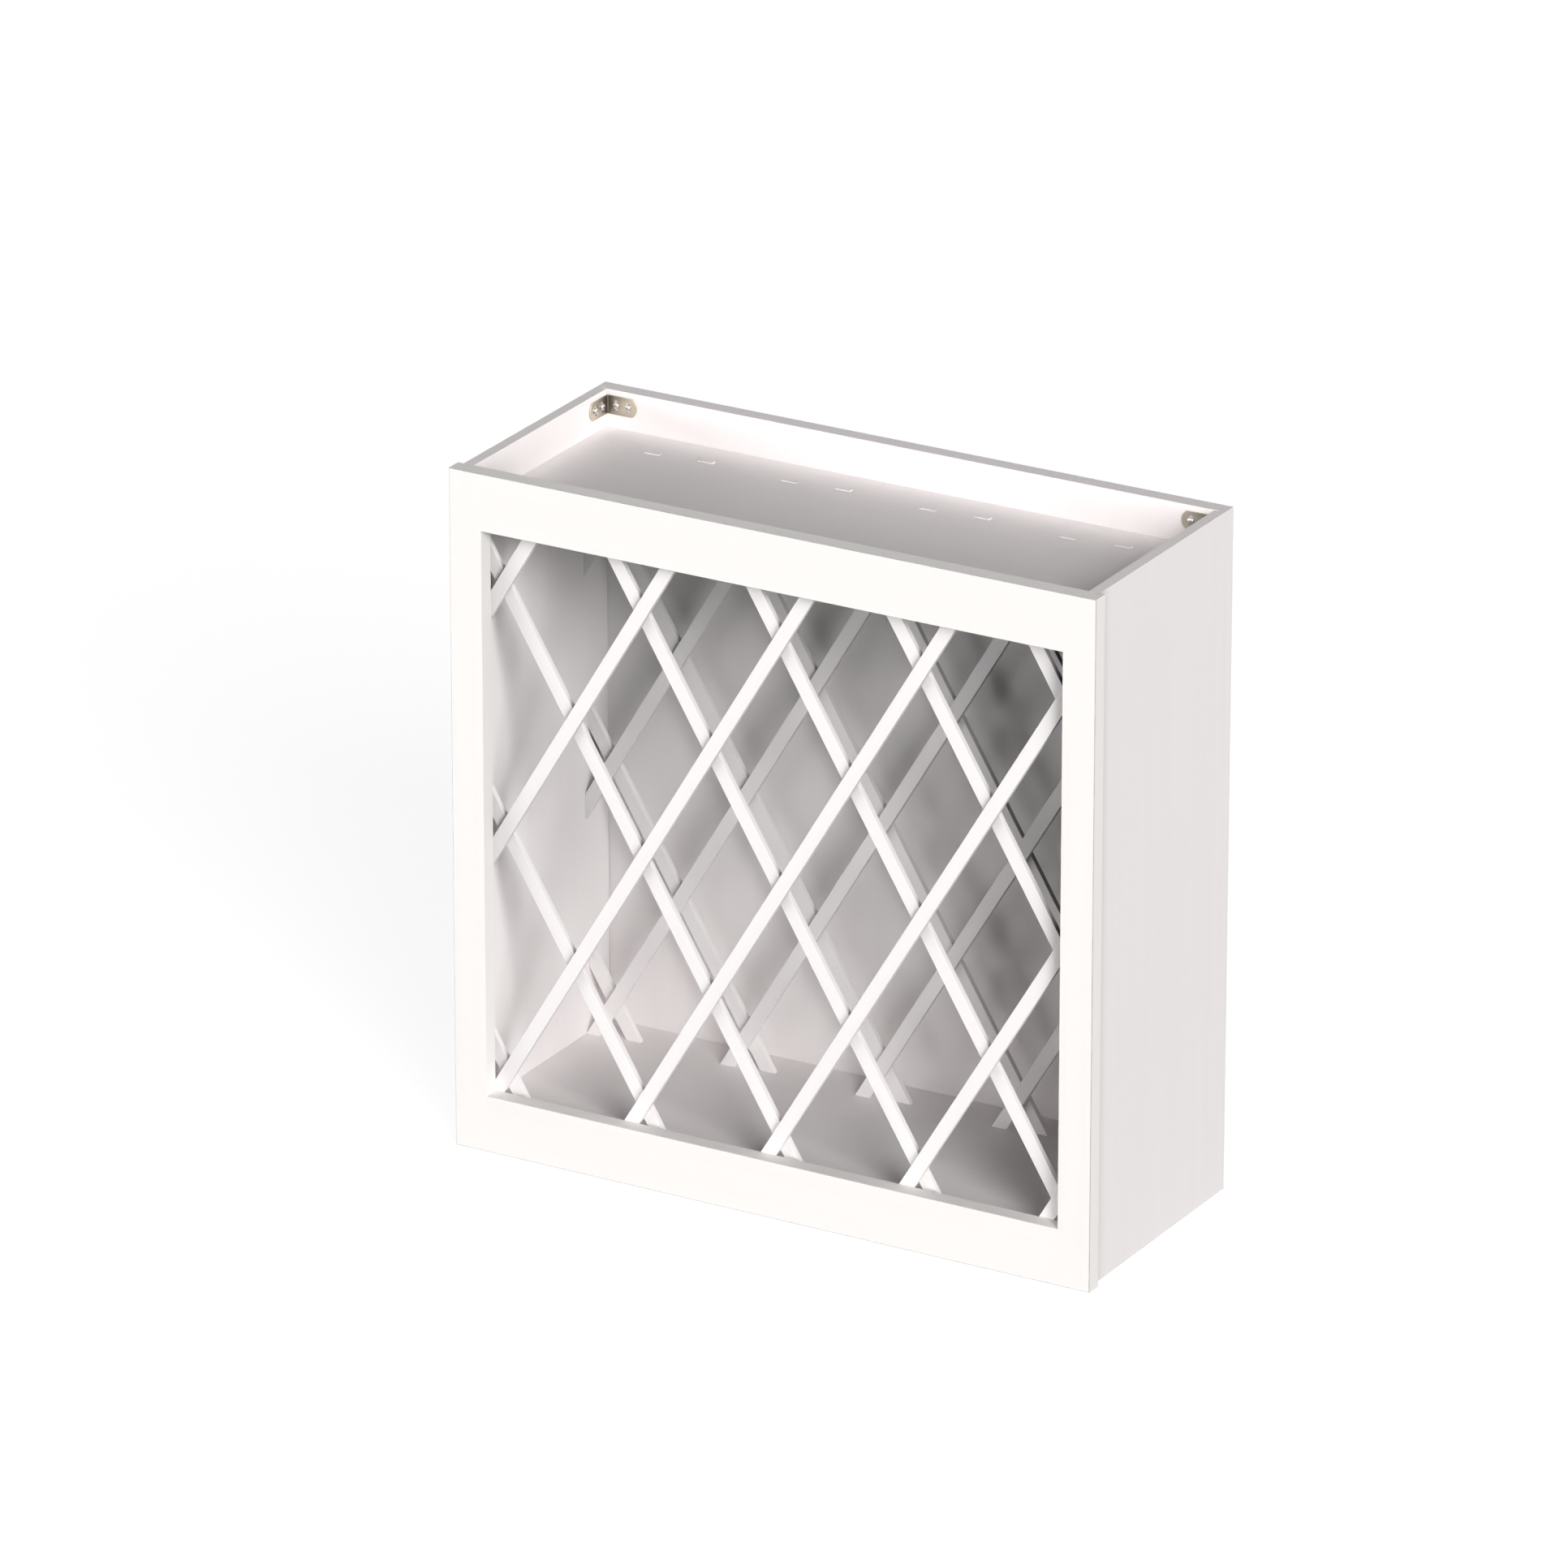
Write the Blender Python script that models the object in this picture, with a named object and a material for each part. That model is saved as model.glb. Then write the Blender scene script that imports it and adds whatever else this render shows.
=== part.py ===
"""Wine rack cabinet: a face-framed cabinet box that holds two diagonal bottle lattices.

Lengths are in metres. +Z is up and the face frame looks towards -Y. The origin is the
centre of the cabinet's footprint, on its underside.
"""

import math

import bmesh
import bpy
from mathutils import Matrix, Vector

# Cabinet as a whole
CABINET_WIDTH = 0.762
CABINET_HEIGHT = 0.762
CABINET_DEPTH = 0.3048

# Gap between two faces that touch, and how far a cutter runs past a face
CLEARANCE = 0.0003
OVERRUN = 0.002

# Face frame: two stiles with two rails between them
FRAME_THICKNESS = 0.01905
STILE_WIDTH = 0.0381
TOP_RAIL_HEIGHT = 0.0635
BOTTOM_RAIL_HEIGHT = 0.0635
FRAME_OVERHANG = 0.00635
FRAME_GROOVE_DEPTH = 0.00635

# Biscuits that join the rails to the stiles
BISCUIT_LENGTH = 0.047
BISCUIT_WIDTH = 0.015
BISCUIT_THICKNESS = 0.004

# Box panels, the housings that hold the top and floor, and the rabbet that holds the back
SIDE_THICKNESS = 0.0127
BACK_THICKNESS = 0.018
TOP_THICKNESS = 0.0127
FLOOR_THICKNESS = 0.0127
TOP_RECESS = 0.0425
FLOOR_HEIGHT = 0.0434
HOUSING_DEPTH = 0.00635
RABBET_DEPTH = 0.00635

# Bottle lattices: a layer of rising slats with a layer of falling slats behind it.
# The margins run from the outermost crossings to the sides, the floor and the top.
CELLS_ACROSS_COUNT = 4
CELLS_HIGH_COUNT = 2
LATTICE_SIDE_MARGIN = 0.03115
LATTICE_FOOT_MARGIN = 0.0384
LATTICE_HEAD_MARGIN = 0.0864
SLAT_WIDTH = 0.0154
SLAT_THICKNESS = 0.00635
SLAT_PROUD = 0.001
REAR_LATTICE_SETBACK = 0.2372

# Corner brackets, one in each rear corner above the top panel
BRACKET_LEG = 0.037
BRACKET_HEIGHT = 0.0205
BRACKET_THICKNESS = 0.0016
BRACKET_BEND_RADIUS = 0.0016
BRACKET_END_BULGE = 0.0052
BRACKET_DROP = 0.0062
SLOT_WIDTH = 0.0056
SLOT_HEIGHT = 0.0125
FIRST_SLOT = 0.0122
SLOT_SPACING = 0.0137

# Pan head screws that hold the brackets
SCREW_LENGTH = 0.011
SCREW_SHANK_DIAMETER = 0.0036
SCREW_POINT_LENGTH = 0.0022
SCREW_HEAD_DIAMETER = 0.0072
SCREW_HEAD_RIM = 0.0007
SCREW_HEAD_HEIGHT = 0.0022
RECESS_WIDTH = 0.001
RECESS_LENGTH = 0.004
RECESS_DEPTH = 0.0012

# Facets of the round shapes, and the distance within which points are one
ROUND_SEGMENTS = 16
ARC_SEGMENTS = 8
BEND_SEGMENTS = 4
DOME_SEGMENTS = 4
WELD_DISTANCE = 0.00001
SHARP_ANGLE = math.radians(35)

# Places that follow from the sizes
FRONT_Y = -CABINET_DEPTH / 2
BACK_Y = CABINET_DEPTH / 2
FRAME_BACK_Y = FRONT_Y + FRAME_THICKNESS
GROOVE_Y = FRAME_BACK_Y - FRAME_GROOVE_DEPTH
BACK_PANEL_Y = BACK_Y - BACK_THICKNESS
FRAME_X = CABINET_WIDTH / 2
OPENING_X = FRAME_X - STILE_WIDTH
SIDE_OUTER_X = FRAME_X - FRAME_OVERHANG
SIDE_INNER_X = SIDE_OUTER_X - SIDE_THICKNESS
HOUSING_X = SIDE_INNER_X + HOUSING_DEPTH
RABBET_X = SIDE_INNER_X + RABBET_DEPTH
TOP_Z = CABINET_HEIGHT - TOP_RECESS
FLOOR_Z = FLOOR_HEIGHT
TOP_LEVELS = (TOP_Z - TOP_THICKNESS, TOP_Z)
FLOOR_LEVELS = (FLOOR_Z - FLOOR_THICKNESS, FLOOR_Z)
LATTICE_PITCH = 2 * (SIDE_INNER_X - LATTICE_SIDE_MARGIN) / CELLS_ACROSS_COUNT
LATTICE_FOOT_Z = FLOOR_Z + LATTICE_FOOT_MARGIN
LATTICE_RISE = (TOP_Z - LATTICE_HEAD_MARGIN - LATTICE_FOOT_Z) / CELLS_HIGH_COUNT
SLAT_LEVELS = (FLOOR_Z + CLEARANCE, TOP_Z + SLAT_PROUD)
BRACKET_LEVELS = (CABINET_HEIGHT - BRACKET_DROP - BRACKET_HEIGHT, CABINET_HEIGHT - BRACKET_DROP)
BRACKET_MIDDLE_Z = sum(BRACKET_LEVELS) / 2
SLOT_PLACES = (FIRST_SLOT, FIRST_SLOT + SLOT_SPACING)

SIDES = {"left": -1, "right": 1}
LEANS = {"rising": 1, "falling": -1}


def clear_scene():
    """Remove the objects that the file opens with."""
    for leftover in list(bpy.data.objects):
        bpy.data.objects.remove(leftover, do_unlink=True)


def make_material(name, colour, roughness, metallic):
    """Return a Principled BSDF material."""
    material = bpy.data.materials.new(name)
    material.use_nodes = True
    shader = material.node_tree.nodes["Principled BSDF"]
    shader.inputs["Base Color"].default_value = (*colour, 1)
    shader.inputs["Roughness"].default_value = roughness
    shader.inputs["Metallic"].default_value = metallic
    material.diffuse_color = (*colour, 1)
    return material


def make_finishes():
    """Return the cabinet's materials by name."""
    return {
        "frame_paint": make_material("frame_paint", (0.93, 0.92, 0.90), 0.38, 0),
        "panel_paint": make_material("panel_paint", (0.90, 0.89, 0.88), 0.42, 0),
        "slat_paint": make_material("slat_paint", (0.92, 0.90, 0.89), 0.40, 0),
        "biscuit_wood": make_material("biscuit_wood", (0.62, 0.45, 0.28), 0.70, 0),
        "bracket_nickel": make_material("bracket_nickel", (0.52, 0.47, 0.42), 0.34, 1),
        "screw_zinc": make_material("screw_zinc", (0.74, 0.73, 0.72), 0.28, 1),
    }


def add_box(bm, low, high):
    """Add the closed box between two corners."""
    low, high = Vector(low), Vector(high)
    matrix = Matrix.LocRotScale((low + high) / 2, None, high - low)
    bmesh.ops.create_cube(bm, size=1, matrix=matrix)


def add_prism(bm, outline, axis, start, end):
    """Add the prism of an outline square to the axis, from start to end along it."""
    along = "XYZ".index(axis)
    first, second = [place for place in range(3) if place != along]
    corners = []
    for across, up in outline:
        place = [0, 0, 0]
        place[first], place[second], place[along] = across, up, start
        corners.append(bm.verts.new(place))
    face = bm.faces.new(corners)
    grown = bmesh.ops.extrude_face_region(bm, geom=[face])
    moved = [part for part in grown["geom"] if isinstance(part, bmesh.types.BMVert)]
    travel = Vector((0, 0, 0))
    travel[along] = end - start
    bmesh.ops.translate(bm, verts=moved, vec=travel)


def add_turned(bm, profile, matrix):
    """Add the solid that a profile of radius and height sweeps about its own Z axis."""
    points = [bm.verts.new((radius, 0, height)) for radius, height in profile]
    edges = [bm.edges.new(pair) for pair in zip(points, points[1:])]
    bmesh.ops.spin(
        bm,
        geom=points + edges,
        cent=(0, 0, 0),
        axis=(0, 0, 1),
        angle=math.tau,
        steps=ROUND_SEGMENTS,
        use_merge=True,
    )
    bmesh.ops.remove_doubles(bm, verts=bm.verts, dist=WELD_DISTANCE)
    bmesh.ops.transform(bm, matrix=matrix, verts=bm.verts)


def finish_mesh(name, bm):
    """Turn the bmesh into an object whose faces point outwards."""
    bmesh.ops.recalc_face_normals(bm, faces=bm.faces[:])
    mesh = bpy.data.meshes.new(name)
    bm.to_mesh(mesh)
    bm.free()
    obj = bpy.data.objects.new(name, mesh)
    bpy.context.scene.collection.objects.link(obj)
    return obj


def make_piece(name, bm, material, smooth=False):
    """Return one piece of the cabinet, made from the bmesh in its material."""
    piece = finish_mesh(name, bm)
    piece.data.materials.append(material)
    if smooth:
        piece.data.shade_smooth()
        piece.data.set_sharp_from_angle(angle=SHARP_ANGLE)
    return piece


def cut_away(piece, name, bm):
    """Cut the shapes in the bmesh out of a piece with a hidden cutter."""
    cutter = finish_mesh(name, bm)
    cutter.hide_render = True
    cutter.display_type = "WIRE"
    modifier = piece.modifiers.new(name, "BOOLEAN")
    modifier.operation = "DIFFERENCE"
    modifier.solver = "EXACT"
    modifier.object = cutter


def arc_points(centre, radius, start, sweep, segments):
    """Return points along an arc, both ends included."""
    points = []
    for step in range(segments + 1):
        angle = start + sweep * step / segments
        points.append((centre[0] + radius * math.cos(angle), centre[1] + radius * math.sin(angle)))
    return points


def add_mirrored_box(bm, side, low, high):
    """Add a box given for the right half of the cabinet, mirrored for the left half."""
    across = sorted((side * low[0], side * high[0]))
    add_box(bm, (across[0], *low[1:]), (across[1], *high[1:]))


# Face frame


def joint_heights():
    """Return the height of the middle of each rail, where its biscuits sit."""
    return {"bottom": BOTTOM_RAIL_HEIGHT / 2, "top": CABINET_HEIGHT - TOP_RAIL_HEIGHT / 2}


def add_biscuit(bm, side, middle_z, extra):
    """Add a biscuit across one joint, grown by an extra all round when it cuts its own slot."""
    length = BISCUIT_LENGTH / 2 + extra
    width = BISCUIT_WIDTH / 2 + extra
    radius = (length * length + width * width) / (2 * width)
    opening = math.asin(length / radius)
    middle_x = side * OPENING_X
    centre = (middle_x + width - radius, middle_z)
    right = arc_points(centre, radius, -opening, 2 * opening, ARC_SEGMENTS)
    left = [(2 * middle_x - across, up) for across, up in reversed(right[1:-1])]
    middle_y = (FRONT_Y + GROOVE_Y) / 2
    half = BISCUIT_THICKNESS / 2 + extra
    add_prism(bm, right + left, "Y", middle_y - half, middle_y + half)


def make_stile(name, side, material):
    """Make one upright of the frame, grooved behind for the side panel."""
    bm = bmesh.new()
    add_mirrored_box(bm, side, (OPENING_X, FRONT_Y, 0), (FRAME_X, FRAME_BACK_Y, CABINET_HEIGHT))
    stile = make_piece(name, bm, material)
    groove = bmesh.new()
    add_mirrored_box(
        groove,
        side,
        (SIDE_INNER_X - CLEARANCE, GROOVE_Y, -OVERRUN),
        (SIDE_OUTER_X + CLEARANCE, FRAME_BACK_Y + OVERRUN, CABINET_HEIGHT + OVERRUN),
    )
    cut_away(stile, name + "_groove", groove)
    slots = bmesh.new()
    for middle_z in joint_heights().values():
        add_biscuit(slots, side, middle_z, CLEARANCE)
    cut_away(stile, name + "_biscuit_slots", slots)


def make_rail(name, low_z, high_z, panel_levels, material):
    """Make one rail of the frame, grooved behind for the tongue of the panel."""
    end_x = OPENING_X - CLEARANCE
    bm = bmesh.new()
    add_box(bm, (-end_x, FRONT_Y, low_z), (end_x, FRAME_BACK_Y, high_z))
    rail = make_piece(name, bm, material)
    groove = bmesh.new()
    add_box(
        groove,
        (-end_x - OVERRUN, GROOVE_Y, panel_levels[0] - CLEARANCE),
        (end_x + OVERRUN, FRAME_BACK_Y + OVERRUN, panel_levels[1] + CLEARANCE),
    )
    cut_away(rail, name + "_groove", groove)
    slots = bmesh.new()
    for side in SIDES.values():
        add_biscuit(slots, side, (low_z + high_z) / 2, CLEARANCE)
    cut_away(rail, name + "_biscuit_slots", slots)


def make_biscuits(material):
    """Make the four biscuits that hold the frame's corners."""
    for rail, middle_z in joint_heights().items():
        for label, side in SIDES.items():
            bm = bmesh.new()
            add_biscuit(bm, side, middle_z, 0)
            make_piece(f"frame_biscuit_{rail}_{label}", bm, material)


def make_face_frame(finishes):
    """Make the stiles, the rails and their biscuits."""
    for label, side in SIDES.items():
        make_stile("stile_" + label, side, finishes["frame_paint"])
    make_rail("bottom_rail", 0, BOTTOM_RAIL_HEIGHT, FLOOR_LEVELS, finishes["frame_paint"])
    top_rail_z = CABINET_HEIGHT - TOP_RAIL_HEIGHT
    make_rail("top_rail", top_rail_z, CABINET_HEIGHT, TOP_LEVELS, finishes["frame_paint"])
    make_biscuits(finishes["biscuit_wood"])


# Box panels


def make_side_panel(name, side, material):
    """Make one side panel, housed for the top and floor and rabbeted for the back."""
    bm = bmesh.new()
    add_mirrored_box(
        bm,
        side,
        (SIDE_INNER_X, GROOVE_Y + CLEARANCE, 0),
        (SIDE_OUTER_X, BACK_Y, CABINET_HEIGHT),
    )
    panel = make_piece(name, bm, material)
    for label, levels in (("top", TOP_LEVELS), ("floor", FLOOR_LEVELS)):
        housing = bmesh.new()
        add_mirrored_box(
            housing,
            side,
            (SIDE_INNER_X - OVERRUN, GROOVE_Y - OVERRUN, levels[0] - CLEARANCE),
            (HOUSING_X, BACK_PANEL_Y + OVERRUN, levels[1] + CLEARANCE),
        )
        cut_away(panel, name + "_" + label + "_housing", housing)
    rabbet = bmesh.new()
    add_mirrored_box(
        rabbet,
        side,
        (SIDE_INNER_X - OVERRUN, BACK_PANEL_Y - CLEARANCE, -OVERRUN),
        (RABBET_X, BACK_Y + OVERRUN, CABINET_HEIGHT + OVERRUN),
    )
    cut_away(panel, name + "_rabbet", rabbet)
    holes = bmesh.new()
    for place in SLOT_PLACES:
        add_pilot_hole(holes, side_screw_matrix(side, place))
    cut_away(panel, name + "_pilot_holes", holes)


def make_back_panel(material):
    """Make the back panel, which lies in the rabbets of the sides."""
    half = RABBET_X - CLEARANCE
    bm = bmesh.new()
    add_box(bm, (-half, BACK_PANEL_Y, 0), (half, BACK_Y, CABINET_HEIGHT))
    panel = make_piece("back_panel", bm, material)
    holes = bmesh.new()
    for side in SIDES.values():
        for place in SLOT_PLACES:
            add_pilot_hole(holes, back_screw_matrix(side, place))
    cut_away(panel, "back_panel_pilot_holes", holes)


def tongued_outline():
    """Return the plan of the top and floor: housed ends and a tongue into the rail."""
    housed = HOUSING_X - CLEARANCE
    tongue = OPENING_X - CLEARANCE
    rear = BACK_PANEL_Y - CLEARANCE
    shoulder = FRAME_BACK_Y + CLEARANCE
    nose = GROOVE_Y + CLEARANCE
    right = [(tongue, nose), (tongue, shoulder), (housed, shoulder), (housed, rear)]
    left = [(-across, deep) for across, deep in reversed(right)]
    return right + left


def make_top_panel(material):
    """Make the top panel, mortised for the upper ends of the slats."""
    bm = bmesh.new()
    add_prism(bm, tongued_outline(), "Z", *TOP_LEVELS)
    panel = make_piece("top_panel", bm, material)
    for lattice, front in lattice_fronts().items():
        for label, lean in LEANS.items():
            mortises = bmesh.new()
            add_mortises(mortises, lean, layer_front(front, label))
            cut_away(panel, "top_panel_" + lattice + "_" + label + "_mortises", mortises)


def make_floor_panel(material):
    """Make the floor, on which the slats stand."""
    bm = bmesh.new()
    add_prism(bm, tongued_outline(), "Z", *FLOOR_LEVELS)
    make_piece("floor_panel", bm, material)


def make_box(finishes):
    """Make the five panels of the cabinet box."""
    for label, side in SIDES.items():
        make_side_panel("side_panel_" + label, side, finishes["panel_paint"])
    make_back_panel(finishes["panel_paint"])
    make_top_panel(finishes["panel_paint"])
    make_floor_panel(finishes["panel_paint"])


# Bottle lattices


def lattice_fronts():
    """Return the depth of each lattice's front face."""
    return {"front": FRAME_BACK_Y + CLEARANCE, "rear": FRONT_Y + REAR_LATTICE_SETBACK}


def layer_front(lattice_front, lean_label):
    """Return the front face of a layer: rising slats lie in front of falling ones."""
    if lean_label == "rising":
        return lattice_front
    return lattice_front + SLAT_THICKNESS + CLEARANCE


def clip_outline(outline, limit, side):
    """Cut a convex outline off where it passes an upright line on one side."""
    kept = []
    for here, after in zip(outline, outline[1:] + outline[:1]):
        room_here = limit - side * here[0]
        room_after = limit - side * after[0]
        if room_here >= 0:
            kept.append(here)
        if room_here * room_after < 0:
            share = room_here / (room_here - room_after)
            kept.append(tuple(a + (b - a) * share for a, b in zip(here, after)))
    return kept


def slat_outline(lean, foot_x, extra, levels, limit):
    """Return the front view of a slat that leans from foot_x at the lattice's foot.

    It is cut off at two levels and at the side panels, which stand limit away.
    """
    run = LATTICE_PITCH / LATTICE_RISE
    half = (SLAT_WIDTH / 2 + extra) * math.hypot(1, run)
    low_z, high_z = levels
    low_x, high_x = [foot_x + lean * run * (height - LATTICE_FOOT_Z) for height in levels]
    outline = [(low_x - half, low_z), (low_x + half, low_z)]
    outline += [(high_x + half, high_z), (high_x - half, high_z)]
    for side in SIDES.values():
        outline = clip_outline(outline, limit, side)
    return outline


def slat_feet(lean):
    """Return where the slats of one lean stand at the lattice's foot, left to right."""
    first = -CELLS_ACROSS_COUNT / 2
    if lean == LEANS["rising"]:
        first -= CELLS_HIGH_COUNT
    count = CELLS_ACROSS_COUNT + CELLS_HIGH_COUNT + 1
    return [LATTICE_PITCH * (first + number) for number in range(count)]


def add_mortises(bm, lean, front):
    """Add the cutters that let one layer of slats through the top panel."""
    levels = (TOP_LEVELS[0] - OVERRUN, TOP_LEVELS[1] + OVERRUN)
    for foot_x in slat_feet(lean):
        outline = slat_outline(lean, foot_x, CLEARANCE, levels, SIDE_INNER_X)
        if outline:
            add_prism(bm, outline, "Y", front - CLEARANCE, front + SLAT_THICKNESS + CLEARANCE)


def make_lattice(lattice, lattice_front, material):
    """Make the slats of one lattice, numbered from left to right."""
    for label, lean in LEANS.items():
        front = layer_front(lattice_front, label)
        for number, foot_x in enumerate(slat_feet(lean), start=1):
            outline = slat_outline(lean, foot_x, 0, SLAT_LEVELS, SIDE_INNER_X - CLEARANCE)
            bm = bmesh.new()
            add_prism(bm, outline, "Y", front, front + SLAT_THICKNESS)
            make_piece(f"{lattice}_slat_{label}_{number}", bm, material)


# Corner brackets and their screws


def corner_point(side, across, deep):
    """Return the plan place of a point given by its distances from the side and the back."""
    return (side * (SIDE_INNER_X - CLEARANCE - across), BACK_PANEL_Y - CLEARANCE - deep)


def bracket_plan():
    """Return the bent strip seen from above, as distances from the side and the back."""
    outer = BRACKET_BEND_RADIUS + BRACKET_THICKNESS
    centre = (outer, outer)
    outline = arc_points(centre, outer, math.pi, math.pi / 2, BEND_SEGMENTS)
    outline += [(BRACKET_LEG, 0), (BRACKET_LEG, BRACKET_THICKNESS)]
    outline += arc_points(centre, BRACKET_BEND_RADIUS, -math.pi / 2, -math.pi / 2, BEND_SEGMENTS)
    outline += [(BRACKET_THICKNESS, BRACKET_LEG), (0, BRACKET_LEG)]
    return outline


def bracket_end_waste():
    """Return the waste past the bowed end of a leg, as distance along it and height."""
    half = BRACKET_HEIGHT / 2
    radius = (half * half + BRACKET_END_BULGE * BRACKET_END_BULGE) / (2 * BRACKET_END_BULGE)
    centre = (BRACKET_LEG - radius, BRACKET_MIDDLE_Z)
    opening = math.asin(half / radius)
    bow = arc_points(centre, radius, -opening, 2 * opening, ARC_SEGMENTS)
    low_z = BRACKET_LEVELS[0] - OVERRUN
    high_z = BRACKET_LEVELS[1] + OVERRUN
    shoulder = BRACKET_LEG - BRACKET_END_BULGE
    past = BRACKET_LEG + OVERRUN
    return bow + [(shoulder, high_z), (past, high_z), (past, low_z), (shoulder, low_z)]


def slot_outline(place):
    """Return an upright slot with round ends, as distance along the leg and height."""
    radius = SLOT_WIDTH / 2
    straight = SLOT_HEIGHT / 2 - radius
    upper = arc_points((place, BRACKET_MIDDLE_Z + straight), radius, 0, math.pi, ARC_SEGMENTS)
    lower = arc_points((place, BRACKET_MIDDLE_Z - straight), radius, math.pi, math.pi, ARC_SEGMENTS)
    return upper + lower


def add_leg_prism(bm, side, leg, outline):
    """Add a cutter through one leg from its front view."""
    near = -OVERRUN
    far = BRACKET_THICKNESS + OVERRUN
    if leg == "back":
        placed = [(corner_point(side, along, 0)[0], height) for along, height in outline]
        levels = [corner_point(side, 0, deep)[1] for deep in (near, far)]
        add_prism(bm, placed, "Y", *levels)
    else:
        placed = [(corner_point(side, 0, along)[1], height) for along, height in outline]
        levels = [corner_point(side, across, 0)[0] for across in (near, far)]
        add_prism(bm, placed, "X", *levels)


def make_bracket(name, side, material):
    """Make one bent bracket with bowed ends and two slots in each leg."""
    bm = bmesh.new()
    outline = [corner_point(side, across, deep) for across, deep in bracket_plan()]
    add_prism(bm, outline, "Z", *BRACKET_LEVELS)
    bracket = make_piece(name, bm, material, smooth=True)
    ends = bmesh.new()
    slots = bmesh.new()
    for leg in ("back", "side"):
        add_leg_prism(ends, side, leg, bracket_end_waste())
        for place in SLOT_PLACES:
            add_leg_prism(slots, side, leg, slot_outline(place))
    cut_away(bracket, name + "_ends", ends)
    cut_away(bracket, name + "_slots", slots)


def back_screw_matrix(side, place):
    """Return the seat of a screw into the back panel, its head towards -Y."""
    across, deep = corner_point(side, place, BRACKET_THICKNESS + CLEARANCE)
    turn = Matrix.Rotation(math.pi / 2, 4, "X")
    return Matrix.Translation((across, deep, BRACKET_MIDDLE_Z)) @ turn


def side_screw_matrix(side, place):
    """Return the seat of a screw into a side panel, its head towards the middle."""
    across, deep = corner_point(side, BRACKET_THICKNESS + CLEARANCE, place)
    turn = Matrix.Rotation(-side * math.pi / 2, 4, "Y")
    return Matrix.Translation((across, deep, BRACKET_MIDDLE_Z)) @ turn


def add_pilot_hole(bm, seat):
    """Add the cutter of a blind hole that takes a screw's shank."""
    depth = SCREW_LENGTH + CLEARANCE
    bmesh.ops.create_cone(
        bm,
        cap_ends=True,
        segments=ROUND_SEGMENTS,
        radius1=SCREW_SHANK_DIAMETER / 2 + CLEARANCE,
        radius2=SCREW_SHANK_DIAMETER / 2 + CLEARANCE,
        depth=depth,
        matrix=seat @ Matrix.Translation((0, 0, -depth / 2)),
    )


def screw_profile():
    """Return the half section of a screw: point, shank, flat seat and domed head."""
    shank = SCREW_SHANK_DIAMETER / 2
    head = SCREW_HEAD_DIAMETER / 2
    dome = SCREW_HEAD_HEIGHT - SCREW_HEAD_RIM
    profile = [(0, -SCREW_LENGTH), (shank, SCREW_POINT_LENGTH - SCREW_LENGTH), (shank, 0), (head, 0)]
    for step in range(DOME_SEGMENTS):
        angle = math.pi / 2 * step / DOME_SEGMENTS
        profile.append((head * math.cos(angle), SCREW_HEAD_RIM + dome * math.sin(angle)))
    return profile + [(0, SCREW_HEAD_HEIGHT)]


def cross_outline():
    """Return the plan of the driver recess, a cross of two equal arms."""
    half = RECESS_WIDTH / 2
    tip = RECESS_LENGTH / 2
    arm = [(half, half), (half, tip), (-half, tip)]
    outline = []
    for quarter in range(4):
        turn = Matrix.Rotation(quarter * math.pi / 2, 2)
        outline += [tuple(turn @ Vector(point)) for point in arm]
    return outline


def make_screw(name, seat, material):
    """Make one screw with a cross recess in its head."""
    bm = bmesh.new()
    add_turned(bm, screw_profile(), seat)
    screw = make_piece(name, bm, material, smooth=True)
    recess = bmesh.new()
    floor_z = SCREW_HEAD_HEIGHT - RECESS_DEPTH
    add_prism(recess, cross_outline(), "Z", floor_z, SCREW_HEAD_HEIGHT + OVERRUN)
    bmesh.ops.transform(recess, matrix=seat, verts=recess.verts)
    cut_away(screw, name + "_recess", recess)


def make_screws(label, side, material):
    """Make the four screws of one bracket, the two in the back panel first."""
    seats = [back_screw_matrix(side, place) for place in SLOT_PLACES]
    seats += [side_screw_matrix(side, place) for place in SLOT_PLACES]
    for number, seat in enumerate(seats, start=1):
        make_screw(f"bracket_screw_{label}_{number}", seat, material)


def make_corner_hardware(finishes):
    """Make both corner brackets with their screws."""
    for label, side in SIDES.items():
        make_bracket("corner_bracket_" + label, side, finishes["bracket_nickel"])
        make_screws(label, side, finishes["screw_zinc"])


def main():
    """Build the whole cabinet."""
    clear_scene()
    finishes = make_finishes()
    make_face_frame(finishes)
    make_box(finishes)
    for lattice, front in lattice_fronts().items():
        make_lattice(lattice, front, finishes["slat_paint"])
    make_corner_hardware(finishes)


main()
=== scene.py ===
"""Wine rack cabinet, dressed for its picture.

A painted face frame stands before a painted box, which holds two lattices of crossed slats
for bottles. Two corner brackets sit above the top board. Lengths are in metres, +Z is up
and the face frame looks towards -Y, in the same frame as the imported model.
"""

import logging
import math
from contextlib import contextmanager
from dataclasses import dataclass
from enum import Enum
from typing import Any, Iterator, Optional, Sequence

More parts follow.
